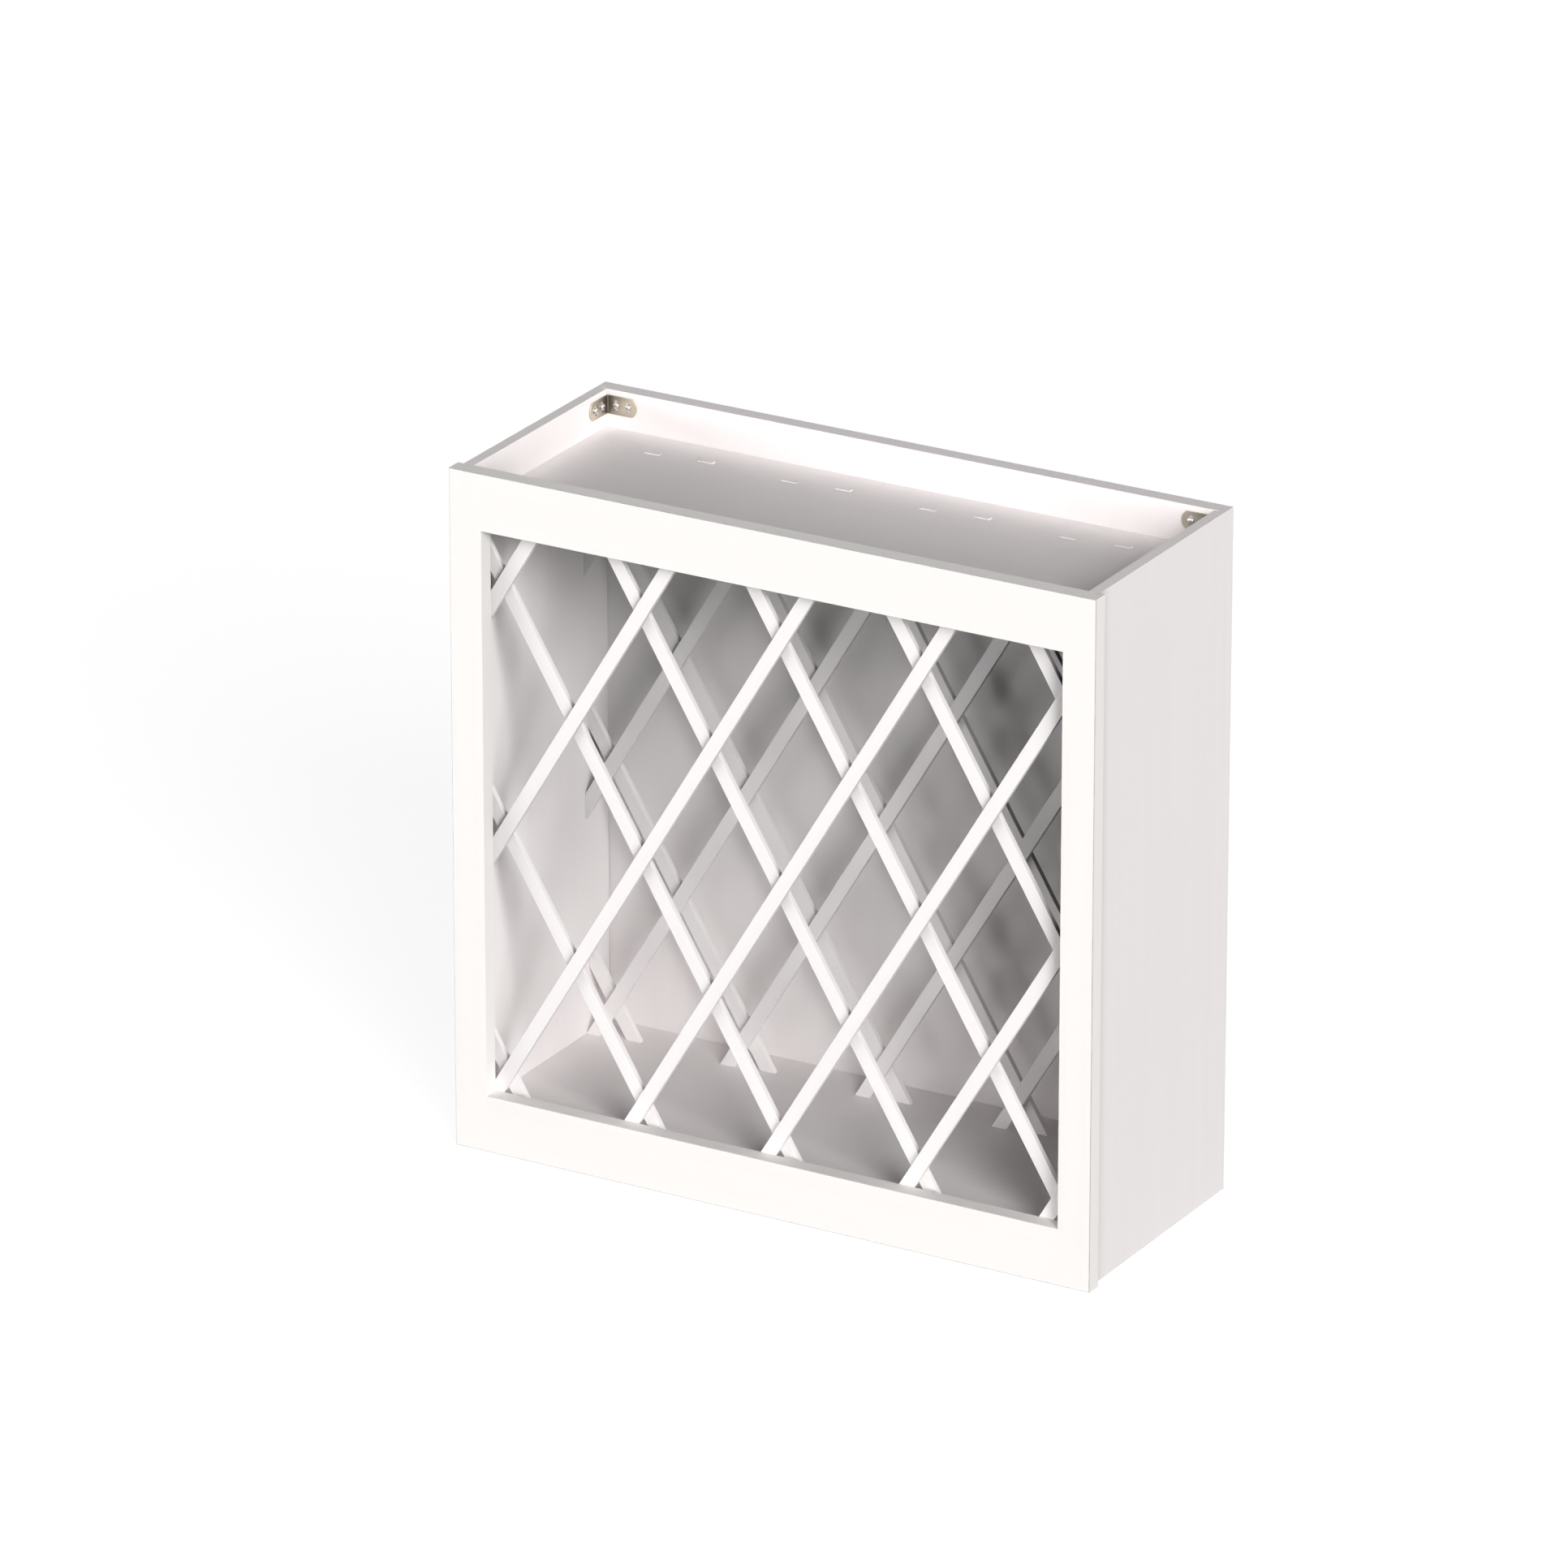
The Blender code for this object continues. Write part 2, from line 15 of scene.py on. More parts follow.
import bmesh
import bpy
import numpy as np
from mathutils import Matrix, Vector


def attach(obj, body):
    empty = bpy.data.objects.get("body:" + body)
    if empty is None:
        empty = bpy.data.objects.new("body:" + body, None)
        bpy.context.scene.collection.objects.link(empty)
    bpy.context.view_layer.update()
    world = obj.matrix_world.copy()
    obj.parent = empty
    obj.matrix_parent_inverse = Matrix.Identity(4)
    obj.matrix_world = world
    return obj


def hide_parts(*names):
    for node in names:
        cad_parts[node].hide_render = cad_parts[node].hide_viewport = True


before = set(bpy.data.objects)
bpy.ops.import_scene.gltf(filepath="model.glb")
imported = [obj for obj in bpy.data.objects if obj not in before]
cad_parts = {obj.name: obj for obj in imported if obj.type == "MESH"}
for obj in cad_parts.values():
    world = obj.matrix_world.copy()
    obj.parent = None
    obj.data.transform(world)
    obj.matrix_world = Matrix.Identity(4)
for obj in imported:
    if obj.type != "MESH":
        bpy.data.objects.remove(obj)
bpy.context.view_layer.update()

LOG = logging.getLogger("wine_rack")
BODY = "root"

CLEARANCE = 0.0003
OVERRUN = 0.002
WELD_DISTANCE = 0.000001
SMOOTH_ANGLE = math.radians(35)
EASE_STEPS = 5
BOX_EASE_STEPS = 3
SLAT_SLOPE = 1.03

Colour = tuple[float, float, float]
Place = tuple[float, float, float]
Span = tuple[float, float]
Seat = tuple[np.ndarray, Place]
Socket = bpy.types.NodeSocket


class Choice(Enum):
    """A choice whose name also stands in the names of pieces and finishes."""

    @property
    def label(self) -> str:
        """Gives the word used in those names."""
        return self.name.lower()


class Side(Choice):
    """The two hands of the cabinet, seen from the front."""

    LEFT = -1
    RIGHT = 1


class Level(Choice):
    """The two rails of the face frame, and the two ends of its stiles."""

    BOTTOM = 0
    TOP = 1


class Lean(Choice):
    """Which way a slat leans as it goes up: to the right or to the left."""

    RISING = 1
    FALLING = -1


class Leg(Enum):
    """The two legs of a corner bracket."""

    BACK = "back"
    SIDE = "side"


class GrainRun(Choice):
    """The way the wood under the paint runs, as the turn that lays the grain along X."""

    LEVEL = (0.0, 0.0, 0.0)
    UPRIGHT = (0.0, math.pi / 2, 0.0)
    RISING = (0.0, SLAT_SLOPE, 0.0)
    FALLING = (0.0, -SLAT_SLOPE, 0.0)


# Shapes as arrays


@dataclass
class Shape:
    """A mesh as arrays.

    Attributes:
        points: One row of x, y and z for each point.
        faces: The faces as lists of point numbers.
        arris: How far each point lies round an eased arris: 0 on a flat, 1 half way round.
    """

    points: np.ndarray
    faces: list[list[int]]
    arris: np.ndarray

    @staticmethod
    def joined(shapes: Sequence["Shape"]) -> "Shape":
        """Puts several shapes into one.

        Args:
            shapes: The shapes, which stay apart inside the result.

        Returns:
            One shape with all their points and faces.
        """
        starts = np.cumsum([0] + [len(shape.points) for shape in shapes])
        faces: list[list[int]] = []
        for start, shape in zip(starts, shapes):
            faces.extend([[int(start) + corner for corner in face] for face in shape.faces])
        points = np.concatenate([shape.points for shape in shapes])
        return Shape(points, faces, np.concatenate([shape.arris for shape in shapes]))


def grid_quads(rows: int, columns: int, closed: bool) -> list[list[int]]:
    """Joins a grid of points into quads.

    Point (i, j) has the number i x columns + j, and each quad joins (i, j), (i, j + 1),
    (i + 1, j + 1) and (i + 1, j).

    Args:
        rows: Number of points down the grid.
        columns: Number of points along each row.
        closed: Whether the last column joins the first.

    Returns:
        The quads as lists of four point numbers.
    """
    spans = columns if closed else columns - 1
    down, along = np.meshgrid(np.arange(rows - 1), np.arange(spans), indexing="ij")
    here = down * columns + along
    beside = down * columns + (along + 1) % columns
    quads = np.stack([here, beside, beside + columns, here + columns], axis=-1)
    return quads.reshape(-1, 4).tolist()


def capped_rings(rings: int, count: int) -> list[list[int]]:
    """Joins rings of points one after the other, and closes the first and last with a face.

    Args:
        rings: Number of rings.
        count: Number of points in each.

    Returns:
        The faces as lists of point numbers.
    """
    last = (rings - 1) * count
    ends = [list(range(count)), list(range(last, last + count))]
    return grid_quads(rings, count, closed=True) + ends


def quarter_turn(steps: int) -> np.ndarray:
    """Gives evenly spaced angles from a right angle down to nothing."""
    return np.linspace(math.pi / 2, 0.0, steps + 1)


def arc(centre: Sequence[float], radius: float, start: float, sweep: float, steps: int) -> np.ndarray:
    """Gives points along an arc: centre + radius x (cos t, sin t) for t from start on.

    Args:
        centre: Middle of the circle.
        radius: Its radius.
        start: First angle, in radians.
        sweep: Angle covered, in radians.
        steps: Number of spans between the points.

    Returns:
        The points, both ends among them.
    """
    angles = start + sweep * np.linspace(0.0, 1.0, steps + 1)
    return np.asarray(centre) + radius * np.stack([np.cos(angles), np.sin(angles)], axis=-1)


def bows(middle: Span, reach: float, half: float, bulge: float, steps: int) -> list[np.ndarray]:
    """Gives the right and the left bow of an outline, anticlockwise.

    With h half the chord and b the bulge, the radius of a bow is (h h + b b) / 2 b.

    Args:
        middle: Middle of the outline.
        reach: How far the crown of each bow stands from the middle.
        half: Half the height of each bow, which is its chord.
        bulge: How far the crown stands out from the chord.
        steps: Number of spans along each bow.

    Returns:
        The points of the right bow and those of the left one.
    """
    radius = (half**2 + bulge**2) / (2 * bulge)
    opening = math.asin(half / radius)
    result = []
    for hand, start in ((1, -opening), (-1, math.pi - opening)):
        centre = (middle[0] + hand * reach - hand * radius, middle[1])
        result.append(arc(centre, radius, start, 2 * opening, steps))
    return result


def rectangle(low: Sequence[float], high: Sequence[float]) -> np.ndarray:
    """Gives the four corners of a rectangle, anticlockwise."""
    return np.array([(low[0], low[1]), (high[0], low[1]), (high[0], high[1]), (low[0], high[1])])


def unit_edges(outline: np.ndarray) -> np.ndarray:
    """Gives the direction of the edge after each corner, as unit vectors."""
    edges = np.roll(outline, -1, axis=0) - outline
    return edges / np.linalg.norm(edges, axis=1, keepdims=True)


def convex_outline(normals: np.ndarray, reaches: np.ndarray) -> np.ndarray:
    """Finds the corners of the region that lies inside several straight lines.

    A line is the points p where normal . p = reach. Each pair of lines is solved for its
    crossing, the crossings inside every line are kept, and they are put in order by their
    bearing from their mean.

    Args:
        normals: Unit vectors that point out of the region, one row for each line.
        reaches: How far each line stands from the origin along its normal.

    Returns:
        The corners, anticlockwise.
    """
    parallel, rounding = 1e-6, 1e-9
    one, other = np.triu_indices(len(reaches), 1)
    across = normals[one, 0] * normals[other, 1] - normals[one, 1] * normals[other, 0]
    meets = np.abs(across) > parallel
    one, other, across = one[meets], other[meets], across[meets]
    a, b = normals[one], normals[other]
    x = (reaches[one] * b[:, 1] - reaches[other] * a[:, 1]) / across
    y = (reaches[other] * a[:, 0] - reaches[one] * b[:, 0]) / across
    points = np.stack([x, y], axis=-1)
    corners = points[(points @ normals.T <= reaches + rounding).all(axis=1)]
    spokes = corners - corners.mean(axis=0)
    return corners[np.argsort(np.arctan2(spokes[:, 1], spokes[:, 0]))]


def mitres(outline: np.ndarray, shares: np.ndarray) -> np.ndarray:
    """Finds how each corner of an outline moves when its edges are drawn in.

    With n and m the outward normals of the two edges at a corner, c = n . m, and s and t
    the shares by which they are drawn in, the corner moves in by
    ((s - t c) n + (t - s c) m) / (1 - c c).

    Args:
        outline: The corners, anticlockwise.
        shares: For the edge after each corner, 1 where it is drawn in and 0 where it stays.

    Returns:
        One row for each corner, for a drawing in of one metre.
    """
    edges = unit_edges(outline)
    after = np.stack([edges[:, 1], -edges[:, 0]], axis=-1)
    before, before_share = np.roll(after, 1, axis=0), np.roll(shares, 1)
    cosine = (before * after).sum(axis=1)
    first = (before_share - shares * cosine)[:, None] * before
    second = (shares - before_share * cosine)[:, None] * after
    return (first + second) / (1 - cosine**2)[:, None]


def prism(
    outline: np.ndarray,
    ends: Span,
    axes: tuple[int, int, int],
    ease: float = 0.0,
    shares: Optional[np.ndarray] = None,
) -> Shape:
    """Carries an outline along a straight path, with quarter-round arrises at both ends.

    With t from a right angle down to 0, the outline is drawn in by ease x (1 - cos t) at a
    depth of ease x (1 - sin t) from the end. The surface is a grid whose two parameters are
    the place along the path and the place round the outline.

    Args:
        outline: Corners in the plane of the first two axes, anticlockwise.
        ends: Where the path starts and stops along the third axis.
        axes: Numbers of the outline's two axes and of the path's.
        ease: Radius of the arrises, or 0 for sharp ones.
        shares: For each edge, 1 where its arrises are eased and 0 where they stay sharp.

    Returns:
        The closed solid.
    """
    count = len(outline)
    shares = np.ones(count) if shares is None else shares
    turn = quarter_turn(EASE_STEPS) if ease else np.zeros(1)
    inset = ease * (1 - np.cos(turn))
    depth = ease * (1 - np.sin(turn))
    insets = np.concatenate([inset, inset[::-1]])
    levels = np.concatenate([ends[0] + depth, (ends[1] - depth)[::-1]])
    flat = outline[None] - insets[:, None, None] * mitres(outline, shares)[None]
    points = np.empty((len(levels), count, 3))
    points[..., axes[0]] = flat[..., 0]
    points[..., axes[1]] = flat[..., 1]
    points[..., axes[2]] = levels[:, None]
    bend = np.sin(2 * turn)
    eased = np.maximum(shares, np.roll(shares, 1))
    arris = np.concatenate([bend, bend[::-1]])[:, None] * eased[None]
    return Shape(points.reshape(-1, 3), capped_rings(len(levels), count), arris.ravel())


def plain_box(low: Sequence[float], high: Sequence[float]) -> Shape:
    """Gives a sharp box between two corners, used to cut with."""
    low, high = np.minimum(low, high), np.maximum(low, high)
    return prism(rectangle(low[:2], high[:2]), (low[2], high[2]), (0, 1, 2))


def eased_box(low: Sequence[float], high: Sequence[float], ease: float) -> Shape:
    """Gives a box with rounded arrises and corners.

    Each side is a grid of two parameters. With q a grid point on the plain box and c the
    same point held ease inside it, the surface point is c + ease x (q - c) / |q - c|. The
    grid lines near an arris stand at ease x tan t past the flat, so the arc is even.

    Args:
        low: One corner.
        high: The corner across from it.
        ease: Radius of the arrises.

    Returns:
        The closed solid, its six grids not yet welded.
    """
    low, high = np.minimum(low, high), np.maximum(low, high)
    past = ease * np.tan(np.linspace(math.pi / 4, 0.0, BOX_EASE_STEPS + 1))
    lines = [
        np.concatenate([start + ease - past, (end - ease + past)[::-1]])
        for start, end in zip(low, high)
    ]
    sides = []
    for across in range(3):
        first, second = [axis for axis in range(3) if axis != across]
        for level in (low[across], high[across]):
            grid = np.empty((len(lines[first]), len(lines[second]), 3))
            grid[..., first] = lines[first][:, None]
            grid[..., second] = lines[second][None]
            grid[..., across] = level
            core = np.clip(grid, low + ease, high - ease)
            spoke = grid - core
            normal = spoke / np.linalg.norm(spoke, axis=-1, keepdims=True)
            arris = np.clip((1 - np.abs(normal).max(axis=-1)) / (1 - math.sqrt(0.5)), 0, 1)
            points = (core + ease * normal).reshape(-1, 3)
            faces = grid_quads(*grid.shape[:2], closed=False)
            sides.append(Shape(points, faces, arris.ravel()))
    return Shape.joined(sides)


# Shapes become objects


@contextmanager
def edited(mesh: bpy.types.Mesh) -> Iterator[bmesh.types.BMesh]:
    """Opens a mesh for changes and puts the changed mesh back afterwards.

    Args:
        mesh: The mesh.

    Yields:
        The form of it that takes changes.
    """
    bm = bmesh.new()
    bm.from_mesh(mesh)
    yield bm
    bm.to_mesh(mesh)
    bm.free()


def read_points(mesh: bpy.types.Mesh) -> np.ndarray:
    """Gives the points of a mesh, one row of x, y and z for each."""
    points = np.empty(len(mesh.vertices) * 3, np.float32)
    mesh.vertices.foreach_get("co", points)
    return points.reshape(-1, 3)


def write_points(mesh: bpy.types.Mesh, points: np.ndarray) -> None:
    """Moves the points of a mesh to new places."""
    mesh.vertices.foreach_set("co", points.astype(np.float32).ravel())
    mesh.update()


def mark_points(mesh: bpy.types.Mesh, name: str, values: np.ndarray) -> None:
    """Gives each point of a mesh a number, under a name that a finish reads."""
    numbers = mesh.attributes.new(name, "FLOAT", "POINT")
    numbers.data.foreach_set("value", values.astype(np.float32))


def add_object(name: str, data: Any) -> bpy.types.Object:
    """Makes an object of a mesh, a lamp or a camera, and links it to the scene."""
    item = bpy.data.objects.new(name, data)
    bpy.context.scene.collection.objects.link(item)
    return item


def make_object(name: str, shape: Shape) -> bpy.types.Object:
    """Turns a shape into an object at the origin whose faces point outwards.

    Args:
        name: Name of the object.
        shape: Its points, faces and arris values.

    Returns:
        The object, linked to the scene.
    """
    mesh = bpy.data.meshes.new(name)
    mesh.from_pydata(shape.points.tolist(), [], shape.faces)
    mark_points(mesh, "arris", shape.arris)
    with edited(mesh) as bm:
        bmesh.ops.remove_doubles(bm, verts=bm.verts[:], dist=WELD_DISTANCE)
        bmesh.ops.dissolve_degenerate(bm, edges=bm.edges[:], dist=WELD_DISTANCE)
        bmesh.ops.recalc_face_normals(bm, faces=bm.faces[:])
    return add_object(name, mesh)


def carve(piece: bpy.types.Object, cutters: Sequence[Shape]) -> None:
    """Cuts shapes out of a piece, one after the other, and keeps the result as its mesh.

    Args:
        piece: The piece to cut.
        cutters: The closed shapes to take out of it.
    """
    helpers = []
    for number, shape in enumerate(cutters):
        helper = make_object(f"{piece.name}_cutter_{number}", shape)
        modifier = piece.modifiers.new(helper.name, "BOOLEAN")
        modifier.operation = "DIFFERENCE"
        modifier.solver = "EXACT"
        modifier.object = helper
        helpers.append(helper)
    graph = bpy.context.evaluated_depsgraph_get()
    shaped = bpy.data.meshes.new_from_object(piece.evaluated_get(graph))
    piece.modifiers.clear()
    piece.data = shaped
    shaped.name = piece.name
    for helper in helpers:
        bpy.data.objects.remove(helper, do_unlink=True)


def dress(
    piece: bpy.types.Object,
    material: bpy.types.Material,
    nodes: Sequence[str],
) -> None:
    """Gives a piece its finish and sets it in the place of its CAD nodes.

    Args:
        piece: The finished mesh.
        material: Material for all of it.
        nodes: CAD nodes that the piece stands for.
    """
    piece.data.materials.clear()
    piece.data.materials.append(material)
    piece.data.shade_smooth()
    piece.data.set_sharp_from_angle(angle=SMOOTH_ANGLE)
    normals = piece.modifiers.new("even_normals", "WEIGHTED_NORMAL")
    normals.keep_sharp = True
    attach(piece, BODY)
    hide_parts(*nodes)
    LOG.info("%s: %d faces, for %s", piece.name, len(piece.data.polygons), ", ".join(nodes))


# Shader nodes


@dataclass
class Wiring:
    """Adds nodes to one shader tree and joins their sockets."""

    tree: bpy.types.NodeTree

    def add(self, kind: str, inputs: Optional[dict[Any, Any]] = None, **settings: Any) -> bpy.types.Node:
        """Adds one node.

        Args:
            kind: Blender's name for the node type.
            inputs: For each input, by name or number, its value or the socket that feeds it.
            **settings: The node's own properties.

        Returns:
            The new node.
        """
        node = self.tree.nodes.new(kind)
        for setting, value in settings.items():
            setattr(node, setting, value)
        for key, value in (inputs or {}).items():
            if isinstance(value, Socket):
                self.tree.links.new(value, node.inputs[key])
            else:
                node.inputs[key].default_value = value
        return node

    def use(self, effect: bpy.types.NodeTree, **inputs: Any) -> bpy.types.bpy_prop_collection:
        """Adds a shared effect with its own values, and gives its outputs by name."""
        return self.add("ShaderNodeGroup", inputs, node_tree=effect).outputs

    def math(self, operation: str, first: Any, second: Any = 0.0) -> Socket:
        """Gives the result of a Math node on two values or sockets."""
        return self.add("ShaderNodeMath", {0: first, 1: second}, operation=operation).outputs[0]

    def blend(self, share: Any, first: Any, second: Any) -> Socket:
        """Gives the colour that lies a share of the way from the first to the second."""
        return self.add("ShaderNodeMix", {0: share, 6: first, 7: second}, data_type="RGBA").outputs[2]

    def scaled(self, colour: Any, factor: Any) -> Socket:
        """Gives a colour times a factor."""
        inputs = {0: colour, "Scale": factor}
        return self.add("ShaderNodeVectorMath", inputs, operation="SCALE").outputs[0]

    def remap(self, value: Any, start: Sequence[Any], end: Sequence[Any]) -> Socket:
        """Gives a value carried from the start range into the end range, and held in it."""
        inputs = {0: value, 1: start[0], 2: start[1], 3: end[0], 4: end[1]}
        return self.add("ShaderNodeMapRange", inputs, clamp=True).outputs[0]

    def noise(self, vector: Any, scale: Any, detail: float, **more: Any) -> Socket:
        """Gives a noise between 0 and 1, with further inputs by name."""
        inputs = {"Vector": vector, "Scale": scale, "Detail": detail, **more}
        return self.add("ShaderNodeTexNoise", inputs).outputs[0]


class GroupWiring(Wiring):
    """Makes one node group. An input or output is of the kind that its name calls for."""

    kinds = {"Vector": "NodeSocketVector", "Colour": "NodeSocketColor"}

    def __init__(self, name: str, *inputs: str) -> None:
        """Starts the group.

        Args:
            name: Name of the group.
            *inputs: Names of its inputs.
        """
        super().__init__(bpy.data.node_groups.new(name, "ShaderNodeTree"))
        self._add_sockets("INPUT", inputs)
        self.given = self.add("NodeGroupInput").outputs

    def _add_sockets(self, way: str, labels: Sequence[str]) -> None:
        """Adds inputs or outputs: vectors, colours, and numbers under any other name."""
        for label in labels:
            kind = self.kinds.get(label, "NodeSocketFloat")
            self.tree.interface.new_socket(label, in_out=way, socket_type=kind)

    def done(self, **results: Socket) -> bpy.types.NodeTree:
        """Ends the group.

        Args:
            **results: What each output gives.

        Returns:
            The finished group.
        """
        self._add_sockets("OUTPUT", list(results))
        self.add("NodeGroupOutput", results)
        return self.tree


class Effects:
    """The shared effects, each a node group built once."""

    def __init__(self) -> None:
        """Builds every group."""
        self.mottle = self._mottle()
        self.wander = self._wander()
        self.peel = self._peel()
        self.grain = self._grain()
        self.rub = self._rub()

    @staticmethod
    def _mottle() -> bpy.types.NodeTree:
        """Builds the slow drift of a colour: it is multiplied by 1 + Strength x (noise - 0.5).

        Returns:
            The group.
        """
        group = GroupWiring("colour_mottle", "Vector", "Colour", "Scale", "Strength")
        given = group.given
        swing = group.math("SUBTRACT", group.noise(given["Vector"], given["Scale"], 3.0), 0.5)
        factor = group.math("ADD", group.math("MULTIPLY", swing, given["Strength"]), 1.0)
        return group.done(Colour=group.scaled(given["Colour"], factor))

    @staticmethod
    def _wander() -> bpy.types.NodeTree:
        """Builds the slow drift of a roughness: Middle + Spread x (noise - 0.5).

        Returns:
            The group.
        """
        group = GroupWiring("roughness_wander", "Vector", "Middle", "Scale", "Spread")
        given = group.given
        swing = group.math("SUBTRACT", group.noise(given["Vector"], given["Scale"], 4.0), 0.5)
        spread = group.math("MULTIPLY", swing, given["Spread"])
        return group.done(Roughness=group.math("ADD", spread, given["Middle"]))

    @staticmethod
    def _peel() -> bpy.types.NodeTree:
        """Builds the pebbled skin that a sprayed or plated coat dries to.

        Two layers of noise are added, the second three times finer and a third as high.

        Returns:
            The group.
        """
        group = GroupWiring("coat_peel", "Vector", "Scale")
        vector, scale = group.given["Vector"], group.given["Scale"]
        broad = group.noise(vector, scale, 1.0)
        small = group.noise(vector, group.math("MULTIPLY", scale, 3.0), 1.0)
        return group.done(Height=group.math("ADD", broad, group.math("MULTIPLY", small, 0.33)))

    @staticmethod
    def _grain() -> bpy.types.NodeTree:
        """Builds lines drawn out along X: wood grain, or the strokes of a brushed metal.

        The place is squeezed by Stretch along X, so that noise on it is long and narrow.

        Returns:
            The group.
        """
        group = GroupWiring("drawn_lines", "Vector", "Scale", "Stretch", "Waviness")
        given = group.given
        parts = group.add("ShaderNodeSeparateXYZ", {0: given["Vector"]}).outputs
        squeezed = group.math("DIVIDE", parts[0], given["Stretch"])
        joined = {0: squeezed, 1: parts[1], 2: parts[2]}
        place = group.add("ShaderNodeCombineXYZ", joined).outputs[0]
        scale, waviness = given["Scale"], given["Waviness"]
        lines = group.noise(place, scale, 4.0, Roughness=0.6, Distortion=waviness)
        broader = group.math("MULTIPLY", scale, 0.16)
        bands = group.noise(place, broader, 2.0, Distortion=waviness)
        return group.done(Lines=lines, Bands=bands)

    @staticmethod
    def _rub() -> bpy.types.NodeTree:
        """Builds the broken line along the arrises, for wear and for painted shade on edges.

        The mask is Arris x (1 - Breaks + Breaks x patches).

        Returns:
            The group.
        """
        group = GroupWiring("arris_rub", "Vector", "Arris", "Scale", "Breaks")
        given = group.given
        noise = group.noise(given["Vector"], given["Scale"], 5.0)
        patches = group.remap(noise, (0.35, 0.65), (0.0, 1.0))
        kept = group.math("MULTIPLY", patches, given["Breaks"])
        share = group.math("ADD", kept, group.math("SUBTRACT", 1.0, given["Breaks"]))
        return group.done(Mask=group.math("MULTIPLY", share, given["Arris"]))


class Coat(Wiring):
    """Makes one material, whose only shader is a Principled BSDF."""

    def __init__(self, name: str) -> None:
        """Starts the material.

        Args:
            name: Name of the material.
        """
        self.material = bpy.data.materials.new(name)
        self.material.use_nodes = True
        super().__init__(self.material.node_tree)
        self.shader = self.tree.nodes["Principled BSDF"]
        self.where = self.add("ShaderNodeTexCoord").outputs["Object"]

    def mapped(self, **settings: Place) -> Socket:
        """Gives the place, turned or scaled as the Mapping node's named inputs say."""
        return self.add("ShaderNodeMapping", {"Vector": self.where, **settings}).outputs[0]

    def marked(self, name: str) -> Socket:
        """Gives the number that the mesh holds for each point under a name."""
        return self.add("ShaderNodeAttribute", attribute_name=name).outputs["Fac"]

    def done(
        self, colour: Socket, roughness: Socket, height: Socket, relief: float, strength: float
    ) -> bpy.types.Material:
        """Joins the results to the shader.

        Args:
            colour: Colour over the surface.
            roughness: Roughness over the surface.
            height: Height of the small relief over the surface.
            relief: Depth of that relief, in metres.
            strength: How much of it shows.

        Returns:
            The finished material.
        """
        inputs = {"Height": height, "Distance": relief, "Strength": strength}
        bump = self.add("ShaderNodeBump", inputs).outputs[0]
        for label, socket in (("Base Color", colour), ("Roughness", roughness), ("Normal", bump)):
            self.tree.links.new(socket, self.shader.inputs[label])
        return self.material


